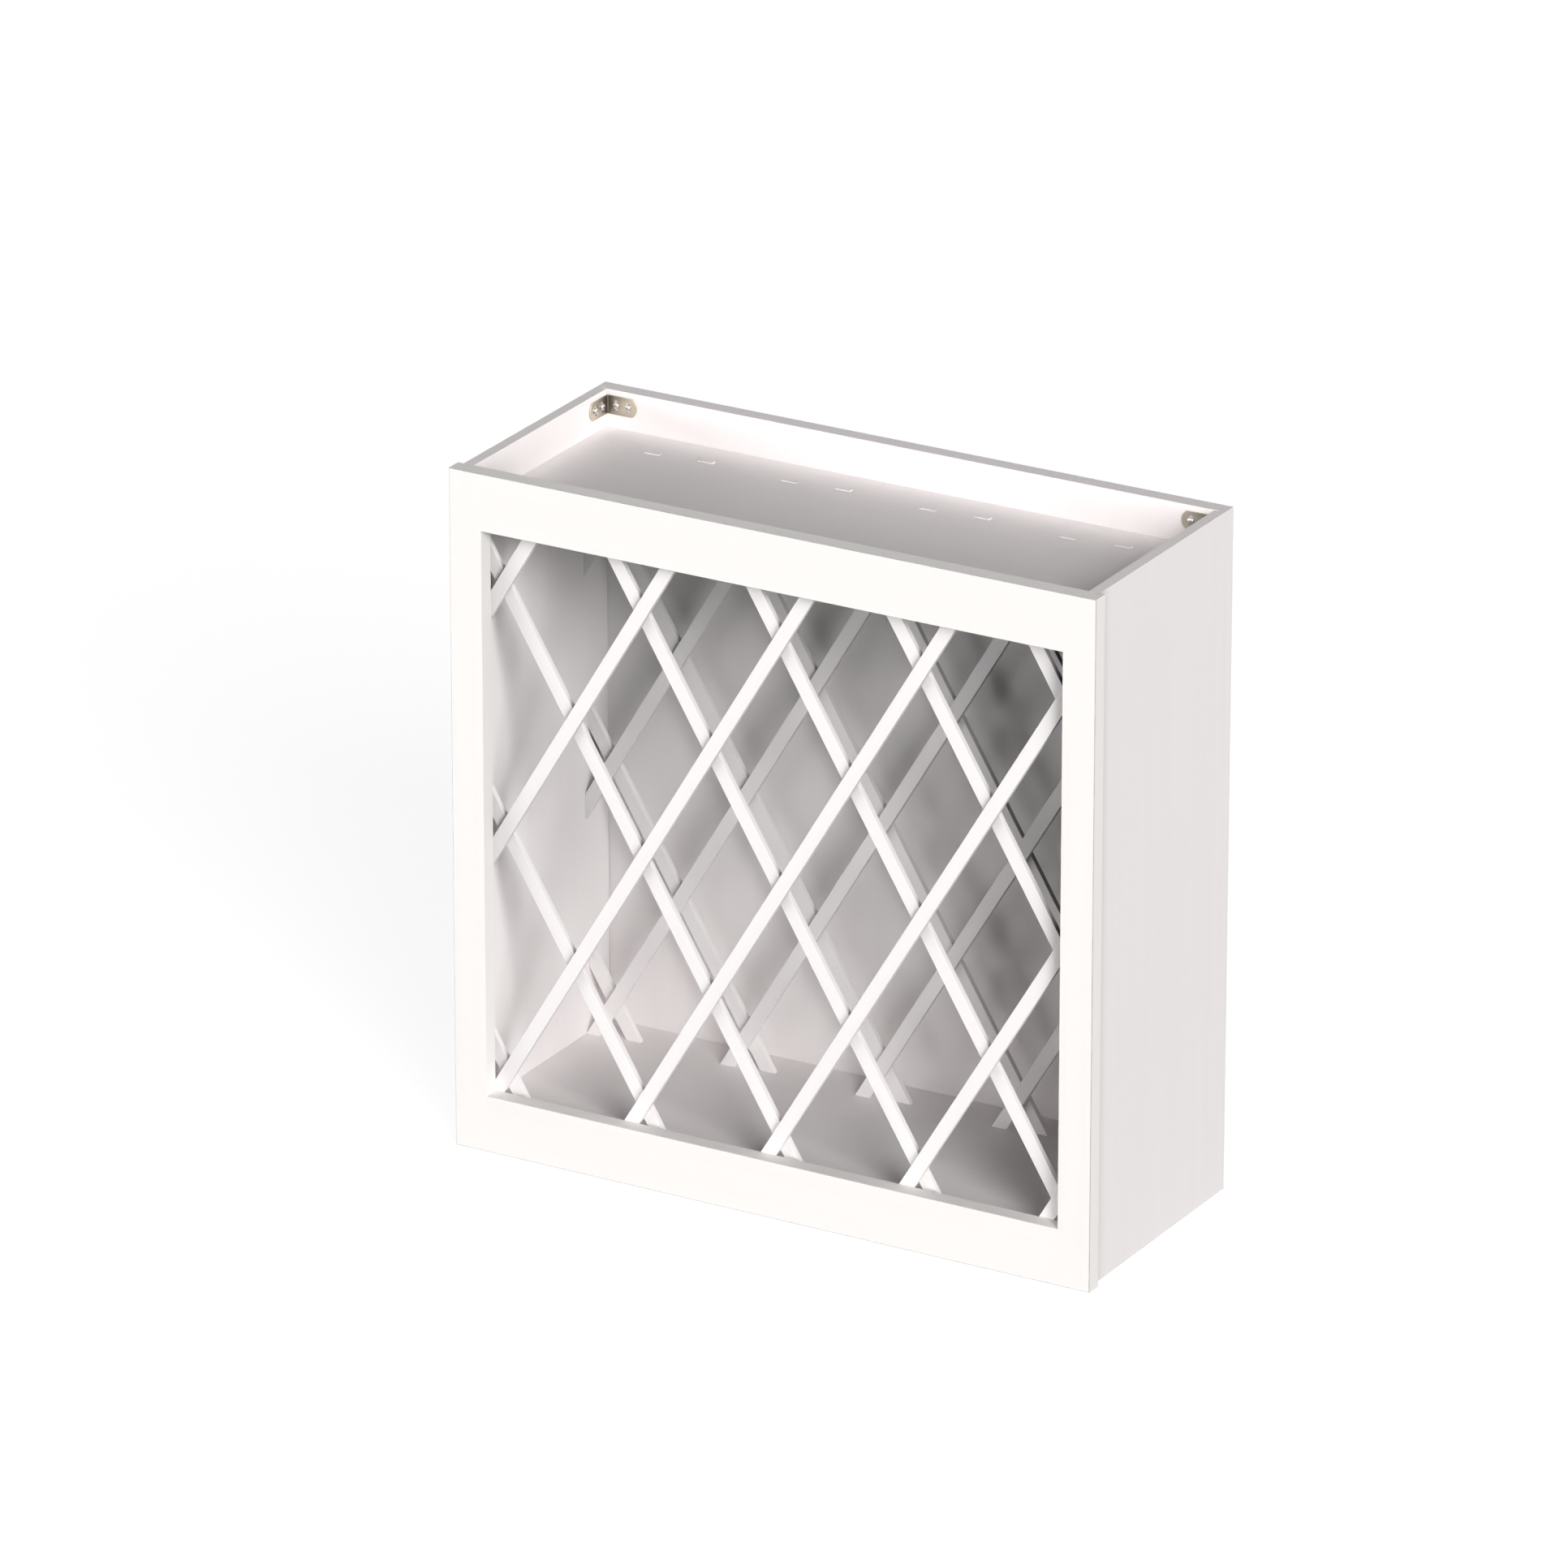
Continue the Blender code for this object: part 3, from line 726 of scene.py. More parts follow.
@dataclass(frozen=True)
class PaintFinish:
    """Sprayed satin paint over primed wood, whose grain only just shows through.

    Attributes:
        name: Name of the paint.
        colour: Colour of the paint.
        roughness: Middle roughness of the dry coat.
        thin_share: How far the arrises go to the undercoat grey: partly worn arrises, partly painted
            shade along the edges.
        dust_share: How dark the painted shade is on the outer faces close behind the face frame.
        thin_colour: Grey of the undercoat on worn arrises, and of the painted shade along the edges and
            behind the face frame.
        gloss: Strength of the coat's mirroring; 0.5 is that of plain varnish.
        relief: Depth of the pebbled skin and the grain, in metres.
        low_bounce: Share of its colour that the paint passes on at the bottom of the box.
        high_bounce: The same share in the upper half of the box, which is in deeper shade.
        open_bounce: The same share over the top board.
        shade_levels: Heights between which the share falls from low to high.
        open_above: Height of the top board's upper face.
        step_y: Place of the face frame's rear.
        dust_reach: How far the painted shade goes back from there; it fades with the square.
        outside_x: Places further from the middle than this are on the outside of the box.
    """

    name: str
    colour: Colour
    roughness: float
    thin_share: float
    dust_share: float = 0.0
    thin_colour: Colour = (0.34, 0.32, 0.32)
    gloss: float = 0.25
    relief: float = 0.00006
    low_bounce: float = 0.85
    high_bounce: float = 0.0
    open_bounce: float = 1.0
    shade_levels: Span = (0.06, 0.38)
    open_above: float = 0.7195
    step_y: float = -0.13335
    dust_reach: float = 0.027
    outside_x: float = 0.3742

    def _dust(self, coat: Coat, across: Socket, deep: Socket) -> Socket:
        """Builds the mask of the painted shade in the corner behind the face frame, outside the box.

        It is dust_share times the square of (1 - d / dust_reach), with d the
        distance behind the frame's rear.

        Args:
            coat: The material in the making.
            across: Place along X.
            deep: Place along Y.

        Returns:
            The mask.
        """
        near = coat.remap(deep, (self.step_y, self.step_y + self.dust_reach), (1.0, 0.0))
        outside = coat.math("GREATER_THAN", coat.math("ABSOLUTE", across), self.outside_x)
        share = coat.math("MULTIPLY", outside, self.dust_share)
        return coat.math("MULTIPLY", coat.math("POWER", near, 2.0), share)

    def _kept(self, coat: Coat, height: Socket) -> Socket:
        """Builds the share of its colour that the paint keeps for each kind of ray.

        White paint passes light on from piece to piece many times over. For a diffuse ray
        the colour is multiplied by a share that falls with height, which keeps the inside of
        the box in soft shade. Over the top board, open to the sky, the share is larger again.
        It changes only light passed from face to face, never the colour of the paint.

        Args:
            coat: The material in the making.
            height: Place along Z.

        Returns:
            The share, 1 for every other ray.
        """
        passed_on = coat.add("ShaderNodeLightPath").outputs["Is Diffuse Ray"]
        inside = coat.remap(height, self.shade_levels, (self.low_bounce, self.high_bounce))
        rim = (self.open_above - OVERRUN, self.open_above)
        share = coat.remap(height, rim, (inside, self.open_bounce))
        return coat.remap(passed_on, (0.0, 1.0), (1.0, share))

    def build(self, effects: Effects, run: GrainRun) -> bpy.types.Material:
        """Makes the material, which reads Object coordinates and the "arris" attribute.

        Args:
            effects: The shared node groups.
            run: The way the wood runs under the paint.

        Returns:
            The material.
        """
        coat = Coat(f"{self.name}_{run.label}")
        where = coat.where
        paint, undercoat_and_shade = (*self.colour, 1.0), (*self.thin_colour, 1.0)
        mottle = coat.use(effects.mottle, Vector=where, Colour=paint, Scale=5.0, Strength=0.02)
        along = coat.mapped(Rotation=run.value)
        grain = coat.use(effects.grain, Vector=along, Scale=420.0, Stretch=28.0, Waviness=0.25)
        arris = coat.marked("arris")
        # The arrises are darkened towards the grey: partly worn arrises, partly painted shade along the
        # edges.
        rub = coat.use(effects.rub, Vector=where, Arris=arris, Scale=60.0, Breaks=0.25)["Mask"]
        edge_wear_and_shade = coat.math("MULTIPLY", rub, self.thin_share)
        shade = coat.remap(grain["Bands"], (0.3, 0.7), (0.0, 0.022))
        toned = coat.blend(shade, mottle["Colour"], undercoat_and_shade)
        across, deep, height = coat.add("ShaderNodeSeparateXYZ", {0: where}).outputs
        # Painted shade: the outer faces close behind the face frame are darkened towards the grey, and
        # the darker of this and the edge darkening is kept.
        wear_and_painted_shade = coat.math("MAXIMUM", edge_wear_and_shade, self._dust(coat, across, deep))
        colour = coat.scaled(coat.blend(wear_and_painted_shade, toned, undercoat_and_shade), self._kept(coat, height))
        wander = coat.use(
            effects.wander, Vector=where, Middle=self.roughness, Scale=14.0, Spread=0.14
        )
        worn = coat.math("MULTIPLY", rub, -0.08)
        roughness = coat.math("ADD", wander["Roughness"], worn)
        peel = coat.use(effects.peel, Vector=where, Scale=620.0)
        pores = coat.remap(grain["Lines"], (0.28, 0.5), (0.0, 0.8))
        relief = coat.math("ADD", peel["Height"], pores)
        coat.shader.inputs["Specular IOR Level"].default_value = self.gloss
        return coat.done(colour, roughness, relief, self.relief, 0.35)


@dataclass(frozen=True)
class MetalFinish:
    """Plated steel with the fine strokes of the brush or the mill.

    Attributes:
        name: Name of the material.
        colour: Colour of the plating.
        worn_colour: Colour of the worn arrises.
        roughness: Middle roughness.
        stroke_scale: Fineness of the strokes.
        stretch: How many times longer than wide the strokes are.
        relief: Depth of the strokes, in metres.
        dull_colour: Colour of the painted shade beside a fold.
        fold_share: How far the painted shade darkens the plating there.
    """

    name: str
    colour: Colour
    worn_colour: Colour
    roughness: float
    stroke_scale: float
    stretch: float
    relief: float = 0.00003
    dull_colour: Colour = (0.13, 0.11, 0.09)
    fold_share: float = 0.85

    def build(self, effects: Effects) -> bpy.types.Material:
        """Makes the material, which reads Object coordinates, "arris" and "fold".

        The strokes are level on both legs of a bracket: the place is squeezed along X and
        along Y alike, so the lines change only with height.

        Args:
            effects: The shared node groups.

        Returns:
            The material.
        """
        coat = Coat(self.name)
        where, stretch = coat.where, self.stretch
        plating = (*self.colour, 1.0)
        mottle = coat.use(effects.mottle, Vector=where, Colour=plating, Scale=90.0, Strength=0.16)
        along = coat.mapped(Scale=(1.0, 1.0 / stretch, 1.0))
        strokes = coat.use(
            effects.grain, Vector=along, Scale=self.stroke_scale, Stretch=stretch, Waviness=0.05
        )["Lines"]
        arris = coat.marked("arris")
        rub = coat.use(effects.rub, Vector=where, Arris=arris, Scale=400.0, Breaks=0.5)
        worn = coat.blend(rub["Mask"], mottle["Colour"], (*self.worn_colour, 1.0))
        # Painted shade in the bend: the plating is darkened towards a near black beside the fold.
        fold_shade = coat.math("MULTIPLY", coat.marked("fold"), self.fold_share)
        colour = coat.blend(fold_shade, worn, (*self.dull_colour, 1.0))
        wander = coat.use(
            effects.wander, Vector=where, Middle=self.roughness, Scale=160.0, Spread=0.12
        )
        streaks = coat.remap(strokes, (0.3, 0.7), (-0.06, 0.08))
        roughness = coat.math("ADD", wander["Roughness"], streaks)
        peel = coat.use(effects.peel, Vector=where, Scale=2600.0)
        height = coat.math("ADD", strokes, coat.math("MULTIPLY", peel["Height"], 0.4))
        coat.shader.inputs["Metallic"].default_value = 1.0
        return coat.done(colour, roughness, height, self.relief, 0.5)


@dataclass(frozen=True)
class BareWoodFinish:
    """Pressed beech, unpainted, with short dark flecks along its grain.

    Attributes:
        name: Name of the material.
        colour: Colour between the flecks.
        fleck_colour: Colour of the flecks and the late wood.
        roughness: Middle roughness.
        run: Turn that lays the grain along X.
        relief: Depth of the grain, in metres.
    """

    name: str
    colour: Colour
    fleck_colour: Colour
    roughness: float
    run: Place = (0.0, math.radians(40), 0.0)
    relief: float = 0.0001

    def build(self, effects: Effects) -> bpy.types.Material:
        """Makes the material.

        Args:
            effects: The shared node groups.

        Returns:
            The material.
        """
        coat = Coat(self.name)
        along = coat.mapped(Rotation=self.run)
        wood = (*self.colour, 1.0)
        grain = coat.use(effects.grain, Vector=along, Scale=900.0, Stretch=9.0, Waviness=0.6)
        mottle = coat.use(effects.mottle, Vector=along, Colour=wood, Scale=120.0, Strength=0.35)
        flecks = coat.remap(grain["Lines"], (0.5, 0.66), (0.0, 0.75))
        late = coat.remap(grain["Bands"], (0.4, 0.7), (0.0, 0.35))
        share = coat.math("MAXIMUM", flecks, late)
        colour = coat.blend(share, mottle["Colour"], (*self.fleck_colour, 1.0))
        wander = coat.use(
            effects.wander, Vector=coat.where, Middle=self.roughness, Scale=200.0, Spread=0.15
        )
        return coat.done(colour, wander["Roughness"], grain["Lines"], self.relief, 0.6)


# Each paint darkens its arrises towards a grey, partly as wear and partly as painted shade along the
# edges; the panel paint also has painted shade on its outer faces just behind the face frame.
FRAME_PAINT = PaintFinish("frame_paint", (0.93, 0.902, 0.88), 0.55, thin_share=1.0)
PANEL_PAINT = PaintFinish(
    "panel_paint", (0.93, 0.885, 0.882), 0.6, thin_share=0.6, dust_share=0.7
)
SLAT_PAINT = PaintFinish("slat_paint", (0.93, 0.893, 0.89), 0.58, thin_share=0.1)
NICKEL = MetalFinish("satin_nickel", (0.64, 0.585, 0.49), (0.74, 0.70, 0.62), 0.36, 2600.0, 24.0)
ZINC = MetalFinish("bright_zinc", (0.66, 0.64, 0.63), (0.80, 0.78, 0.77), 0.34, 1800.0, 3.0)
BEECH = BareWoodFinish("pressed_beech", (0.62, 0.45, 0.28), (0.36, 0.22, 0.12), 0.7)


@dataclass
class Finishes:
    """Every material of the cabinet, built once."""

    effects: Effects

    def __post_init__(self) -> None:
        """Builds the materials."""
        runs = (GrainRun.LEVEL, GrainRun.UPRIGHT)
        self.frame_level, self.frame_upright = [FRAME_PAINT.build(self.effects, run) for run in runs]
        self.panel_level, self.panel_upright = [PANEL_PAINT.build(self.effects, run) for run in runs]
        self.slats = {lean: SLAT_PAINT.build(self.effects, GrainRun[lean.name]) for lean in Lean}
        self.nickel, self.zinc, self.beech = [
            finish.build(self.effects) for finish in (NICKEL, ZINC, BEECH)
        ]


# The cabinet's pieces


@dataclass
class FaceFrame:
    """Two stiles and two rails before the box, joined flush so that no line shows.

    The eased arrises run round the outside and the opening as one surface, and the four
    pieces are cut from it where the rails meet the stiles.
    """

    width: float = 0.762
    height: float = 0.762
    front_y: float = -0.1524
    thickness: float = 0.01905
    stile_width: float = 0.0381
    rail_height: float = 0.0635
    groove_depth: float = 0.00635
    side_groove: Span = (0.36195, 0.37465)
    top_groove: Span = (0.7068, 0.7195)
    floor_groove: Span = (0.0307, 0.0434)
    front_ease: float = 0.0009
    back_ease: float = 0.0004
    opening_rub: float = 0.12
    biscuit_length: float = 0.047
    biscuit_width: float = 0.015
    biscuit_thickness: float = 0.004
    biscuit_steps: int = 12

    @property
    def back_y(self) -> float:
        """Gives the depth of the frame's rear face."""
        return self.front_y + self.thickness

    @property
    def opening_x(self) -> float:
        """Gives how far the opening's sides stand from the middle."""
        return self.width / 2 - self.stile_width

    def section(self) -> list[np.ndarray]:
        """Works out the frame's cross-section, with a quarter round on each arris.

        A point is held by its distance in from the outer or from the opening's edge, as
        ease x (1 - cos t), and by its depth, ease x (1 - sin t) from the front or rear.

        Returns:
            For each point: whether it is held by the outer edge, its inset, its y, and its
            arris value.
        """
        turn = quarter_turn(EASE_STEPS)[::-1]
        corners = []
        for outer, at_front in ((True, True), (False, True), (False, False), (True, False)):
            ease = self.front_ease if at_front else self.back_ease
            order = turn if outer == at_front else turn[::-1]
            inset = ease * (1 - np.cos(order))
            depth = ease * (1 - np.sin(order))
            y = self.front_y + depth if at_front else self.back_y - depth
            # The outer arrises get the full edge darkening, painted shade and wear; the opening's
            # arrises only a little of it.
            edge_weight = 1.0 if outer else self.opening_rub
            corners.append((np.full(len(order), outer), inset, y, edge_weight * np.sin(2 * order)))
        return [np.concatenate(values) for values in zip(*corners)]

    def member(self, stations: Sequence[tuple[int, Level, bool]]) -> Shape:
        """Carries the cross-section past several stations round the frame.

        The surface is a grid whose two parameters are the station and the place round the
        section. At a corner station x is half the width less the inset, or the opening's
        half width plus it; at a joint station x is the opening's half width.

        Args:
            stations: For each, -1 or 1 for its side, its level, and whether it is a corner.

        Returns:
            The closed member.
        """
        outer, inset, y, arris = self.section()
        corner_x = np.where(outer, self.width / 2 - inset, self.opening_x + inset)
        joint_x = np.full(len(inset), self.opening_x)
        inner_z = self.height - self.rail_height + inset
        levels = {
            Level.BOTTOM: np.where(outer, inset, self.rail_height - inset),
            Level.TOP: np.where(outer, self.height - inset, inner_z),
        }
        rows = [
            np.stack([hand * (corner_x if at_corner else joint_x), y, levels[level]], axis=-1)
            for hand, level, at_corner in stations
        ]
        faces = capped_rings(len(rows), len(inset))
        return Shape(np.concatenate(rows), faces, np.tile(arris, len(rows)))

    def stile(self, side: Side) -> Shape:
        """Works out one stile, with the mitred turns of the arrises at both ends."""
        turns = ((Level.BOTTOM, False), (Level.BOTTOM, True), (Level.TOP, True), (Level.TOP, False))
        return self.member([(side.value, level, at_corner) for level, at_corner in turns])

    def rail(self, level: Level) -> Shape:
        """Works out one rail."""
        return self.member([(side.value, level, False) for side in Side])

    def biscuit_slot(self, side: Side, middle_z: float) -> Shape:
        """Works out the lens-shaped slot of one biscuit.

        Args:
            side: Which joint.
            middle_z: Height of the joint's middle.

        Returns:
            The cutter.
        """
        length = self.biscuit_length / 2 + CLEARANCE
        width = self.biscuit_width / 2 + CLEARANCE
        middle = (side.value * self.opening_x, middle_z)
        right, left = bows(middle, width, length, width, self.biscuit_steps)
        middle_y = (self.front_y + self.back_y - self.groove_depth) / 2
        half = self.biscuit_thickness / 2 + CLEARANCE
        outline = np.concatenate([right[:-1], left[:-1]])
        return prism(outline, (middle_y - half, middle_y + half), (0, 2, 1))

    def groove(self, low: Span, high: Span) -> Shape:
        """Gives a groove in the frame's rear between two x and z places."""
        start, end = self.back_y - self.groove_depth, self.back_y + OVERRUN
        return plain_box((low[0], start, low[1]), (high[0], end, high[1]))

    def build(self, finishes: Finishes) -> None:
        """Makes the four members and dresses them and the biscuits.

        Args:
            finishes: The cabinet's materials.
        """
        middles = (self.rail_height / 2, self.height - self.rail_height / 2)
        for side in Side:
            piece = make_object(f"{side.label}_stile", self.stile(side))
            inner, outer = [side.value * place for place in self.side_groove]
            widened = side.value * CLEARANCE
            low, high = (inner - widened, -OVERRUN), (outer + widened, self.height + OVERRUN)
            slots = [self.biscuit_slot(side, middle) for middle in middles]
            carve(piece, [self.groove(low, high)] + slots)
            dress(piece, finishes.frame_upright, [f"stile_{side.label}"])
        end_x = self.opening_x + OVERRUN
        for level, ends, middle in zip(Level, (self.floor_groove, self.top_groove), middles):
            piece = make_object(f"{level.label}_rail_member", self.rail(level))
            groove = self.groove((-end_x, ends[0] - CLEARANCE), (end_x, ends[1] + CLEARANCE))
            carve(piece, [groove] + [self.biscuit_slot(side, middle) for side in Side])
            dress(piece, finishes.frame_level, [f"{level.label}_rail"])
        for level in Level:
            for side in Side:
                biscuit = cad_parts[f"frame_biscuit_{level.label}_{side.label}"]
                for slot in biscuit.material_slots:
                    slot.material = finishes.beech
                LOG.info("%s: kept, in beech", biscuit.name)


@dataclass
class BottleLattice:
    """One lattice: a layer of rising slats with a layer of falling slats behind it."""

    name: str
    front_y: float
    pitch: float = 0.1654
    rise: float = 0.27565
    foot_z: float = 0.0818
    cells_across: int = 4
    cells_high: int = 2
    slat_width: float = 0.0154
    slat_thickness: float = 0.00635
    levels: Span = (0.0437, 0.7205)
    wall_x: float = 0.36195
    ease: float = 0.0005

    def feet(self, lean: Lean) -> np.ndarray:
        """Gives where the slats of one lean stand at the lattice's foot, left to right."""
        first = -self.cells_across / 2
        if lean is Lean.RISING:
            first -= self.cells_high
        return self.pitch * (first + np.arange(self.cells_across + self.cells_high + 1))

    def layer_y(self, lean: Lean) -> float:
        """Gives the front face of a layer."""
        behind = self.slat_thickness + CLEARANCE
        return self.front_y + (0.0 if lean is Lean.RISING else behind)

    def outline(
        self, lean: Lean, foot_x: float, extra: float, levels: Span, wall_x: float
    ) -> tuple[np.ndarray, np.ndarray]:
        """Works out a slat's front view, and which of its edges are the slat's own sides.

        Six lines bound it: the slat's two long sides, two levels and the two side walls.

        Args:
            lean: Which way it leans.
            foot_x: Where its middle line crosses the lattice's foot.
            extra: Growth all round the long sides, for a mortise.
            levels: Heights of its ends.
            wall_x: How far the walls stand from the middle.

        Returns:
            The corners, and 1 for each edge that is a long side, else 0.
        """
        along = np.array([lean.value * self.pitch, self.rise])
        along /= np.linalg.norm(along)
        square = np.array([along[1], -along[0]])
        middle = square @ np.array([foot_x, self.foot_z])
        half = self.slat_width / 2 + extra
        normals = np.array([square, -square, (0, -1), (0, 1), (-1, 0), (1, 0)])
        reaches = np.array([middle + half, half - middle, -levels[0], levels[1], wall_x, wall_x])
        corners = convex_outline(normals, reaches)
        nearly_along = 0.9999
        return corners, (np.abs(unit_edges(corners) @ along) > nearly_along).astype(float)

    def slat(self, lean: Lean, foot_x: float) -> Shape:
        """Works out one slat, its long arrises eased and its ends sawn square to the depth."""
        corners, shares = self.outline(lean, foot_x, 0.0, self.levels, self.wall_x - CLEARANCE)
        start = self.layer_y(lean)
        return prism(corners, (start, start + self.slat_thickness), (0, 2, 1), self.ease, shares)

    def mortises(self, lean: Lean, board: Span) -> Shape:
        """Works out the holes that one layer of slats needs through the top board.

        Args:
            lean: Which layer.
            board: Heights of the board's faces.

        Returns:
            All the cutters of the layer as one shape.
        """
        start = self.layer_y(lean) - CLEARANCE
        ends = (start, start + self.slat_thickness + 2 * CLEARANCE)
        through = (board[0] - OVERRUN, board[1] + OVERRUN)
        run = self.pitch / self.rise
        cutters = []
        for foot_x in self.feet(lean):
            middle_x = foot_x + lean.value * run * (sum(board) / 2 - self.foot_z)
            if abs(middle_x) > self.wall_x + self.slat_width:
                continue
            outline, _ = self.outline(lean, foot_x, CLEARANCE, through, self.wall_x)
            cutters.append(prism(outline, ends, (0, 2, 1)))
        return Shape.joined(cutters)

    def build(self, finishes: Finishes) -> None:
        """Makes and dresses every slat.

        Args:
            finishes: The cabinet's materials.
        """
        for lean in Lean:
            for number, foot_x in enumerate(self.feet(lean), start=1):
                name = f"{self.name}_{lean.label}_slat_{number}"
                piece = make_object(name, self.slat(lean, foot_x))
                node = f"{self.name}_slat_{lean.label}_{number}"
                dress(piece, finishes.slats[lean], [node])


@dataclass
class CabinetBox:
    """Two sides, a back, a top and a floor, housed into each other behind the frame."""

    height: float = 0.762
    inner_x: float = 0.36195
    outer_x: float = 0.37465
    housing_x: float = 0.3683
    opening_x: float = 0.3429
    nose_y: float = -0.1397
    shoulder_y: float = -0.13335
    panel_y: float = 0.1344
    back_y: float = 0.1524
    top_levels: Span = (0.7068, 0.7195)
    floor_levels: Span = (0.0307, 0.0434)
    pilot_radius: float = 0.0021
    pilot_depth: float = 0.0113
    pilot_z: float = 0.74555
    pilot_steps: int = 24
    seam: float = 0.0016
    ease: float = 0.0006
    board_ease: float = 0.0004

    def side_shape(self, side: Side) -> Shape:
        """Works out one side panel before its housings are cut."""
        low = (side.value * self.inner_x, self.nose_y + CLEARANCE, 0.0)
        return eased_box(low, (side.value * self.outer_x, self.back_y, self.height), self.ease)

    def housings(self, side: Side) -> list[Shape]:
        """Works out the cuts in a side: housings for the top and floor, and the back's rabbet.

        Args:
            side: Which side panel.

        Returns:
            The cutters.
        """
        near = side.value * (self.inner_x - OVERRUN)
        far = side.value * self.housing_x
        cuts = []
        for low_z, high_z in (self.top_levels, self.floor_levels):
            start = (near, self.nose_y - OVERRUN, low_z - CLEARANCE)
            cuts.append(plain_box(start, (far, self.panel_y + OVERRUN, high_z + CLEARANCE)))
        start = (near, self.panel_y - self.seam, -OVERRUN)
        cuts.append(plain_box(start, (far, self.back_y + OVERRUN, self.height + OVERRUN)))
        return cuts

    def pilot(self, place: Sequence[float], axis: int, inward: float) -> Shape:
        """Works out a blind round hole for a screw.

        Args:
            place: Middle of the hole's mouth.
            axis: Number of the axis that it runs along.
            inward: 1 or -1, the way it goes in.

        Returns:
            The cutter.
        """
        first, second = [other for other in range(3) if other != axis]
        middle = (place[first], place[second])
        ring = arc(middle, self.pilot_radius, 0.0, math.tau, self.pilot_steps)[:-1]
        mouth = place[axis] - inward * OVERRUN
        bottom = place[axis] + inward * self.pilot_depth
        return prism(ring, (min(mouth, bottom), max(mouth, bottom)), (first, second, axis))

    def board_outline(self) -> np.ndarray:
        """Gives the plan of the top and floor: housed ends, and a tongue into the rail."""
        housed = self.housing_x - CLEARANCE
        tongue = self.opening_x - CLEARANCE
        nose, shoulder = self.nose_y + CLEARANCE, self.shoulder_y + CLEARANCE
        rear = self.panel_y - CLEARANCE
        right = [(tongue, nose), (tongue, shoulder), (housed, shoulder), (housed, rear)]
        left = [(-across, deep) for across, deep in reversed(right)]
        return np.array(right + left)

    def build(
        self, finishes: Finishes, lattices: Sequence[BottleLattice], places: Sequence[float]
    ) -> None:
        """Makes and dresses the five panels.

        Args:
            finishes: The cabinet's materials.
            lattices: The lattices, whose slats pass through the top board.
            places: Distances of the bracket screws from the rear corners.
        """
        rear, level = self.panel_y - CLEARANCE, self.pilot_z
        for side in Side:
            wall = side.value * self.inner_x
            pilots = [self.pilot((wall, rear - at, level), 0, side.value) for at in places]
            piece = make_object(f"{side.label}_side", self.side_shape(side))
            carve(piece, self.housings(side) + pilots)
            dress(piece, finishes.panel_upright, [f"side_panel_{side.label}"])
        half = self.housing_x - CLEARANCE
        back = eased_box((-half, self.panel_y, 0.0), (half, self.back_y, self.height), self.ease)
        piece = make_object("back_board", back)
        reach = self.inner_x - CLEARANCE
        across = [side.value * (reach - at) for side in Side for at in places]
        carve(piece, [self.pilot((place, self.panel_y, level), 1, 1) for place in across])
        dress(piece, finishes.panel_upright, ["back_panel"])
        mortises = [part.mortises(lean, self.top_levels) for part in lattices for lean in Lean]
        for name, ends, cuts in (("top", self.top_levels, mortises), ("floor", self.floor_levels, [])):
            board = prism(self.board_outline(), ends, (0, 1, 2), self.board_ease)
            piece = make_object(f"{name}_board", board)
            if cuts:
                carve(piece, cuts)
            dress(piece, finishes.panel_level, [f"{name}_panel"])


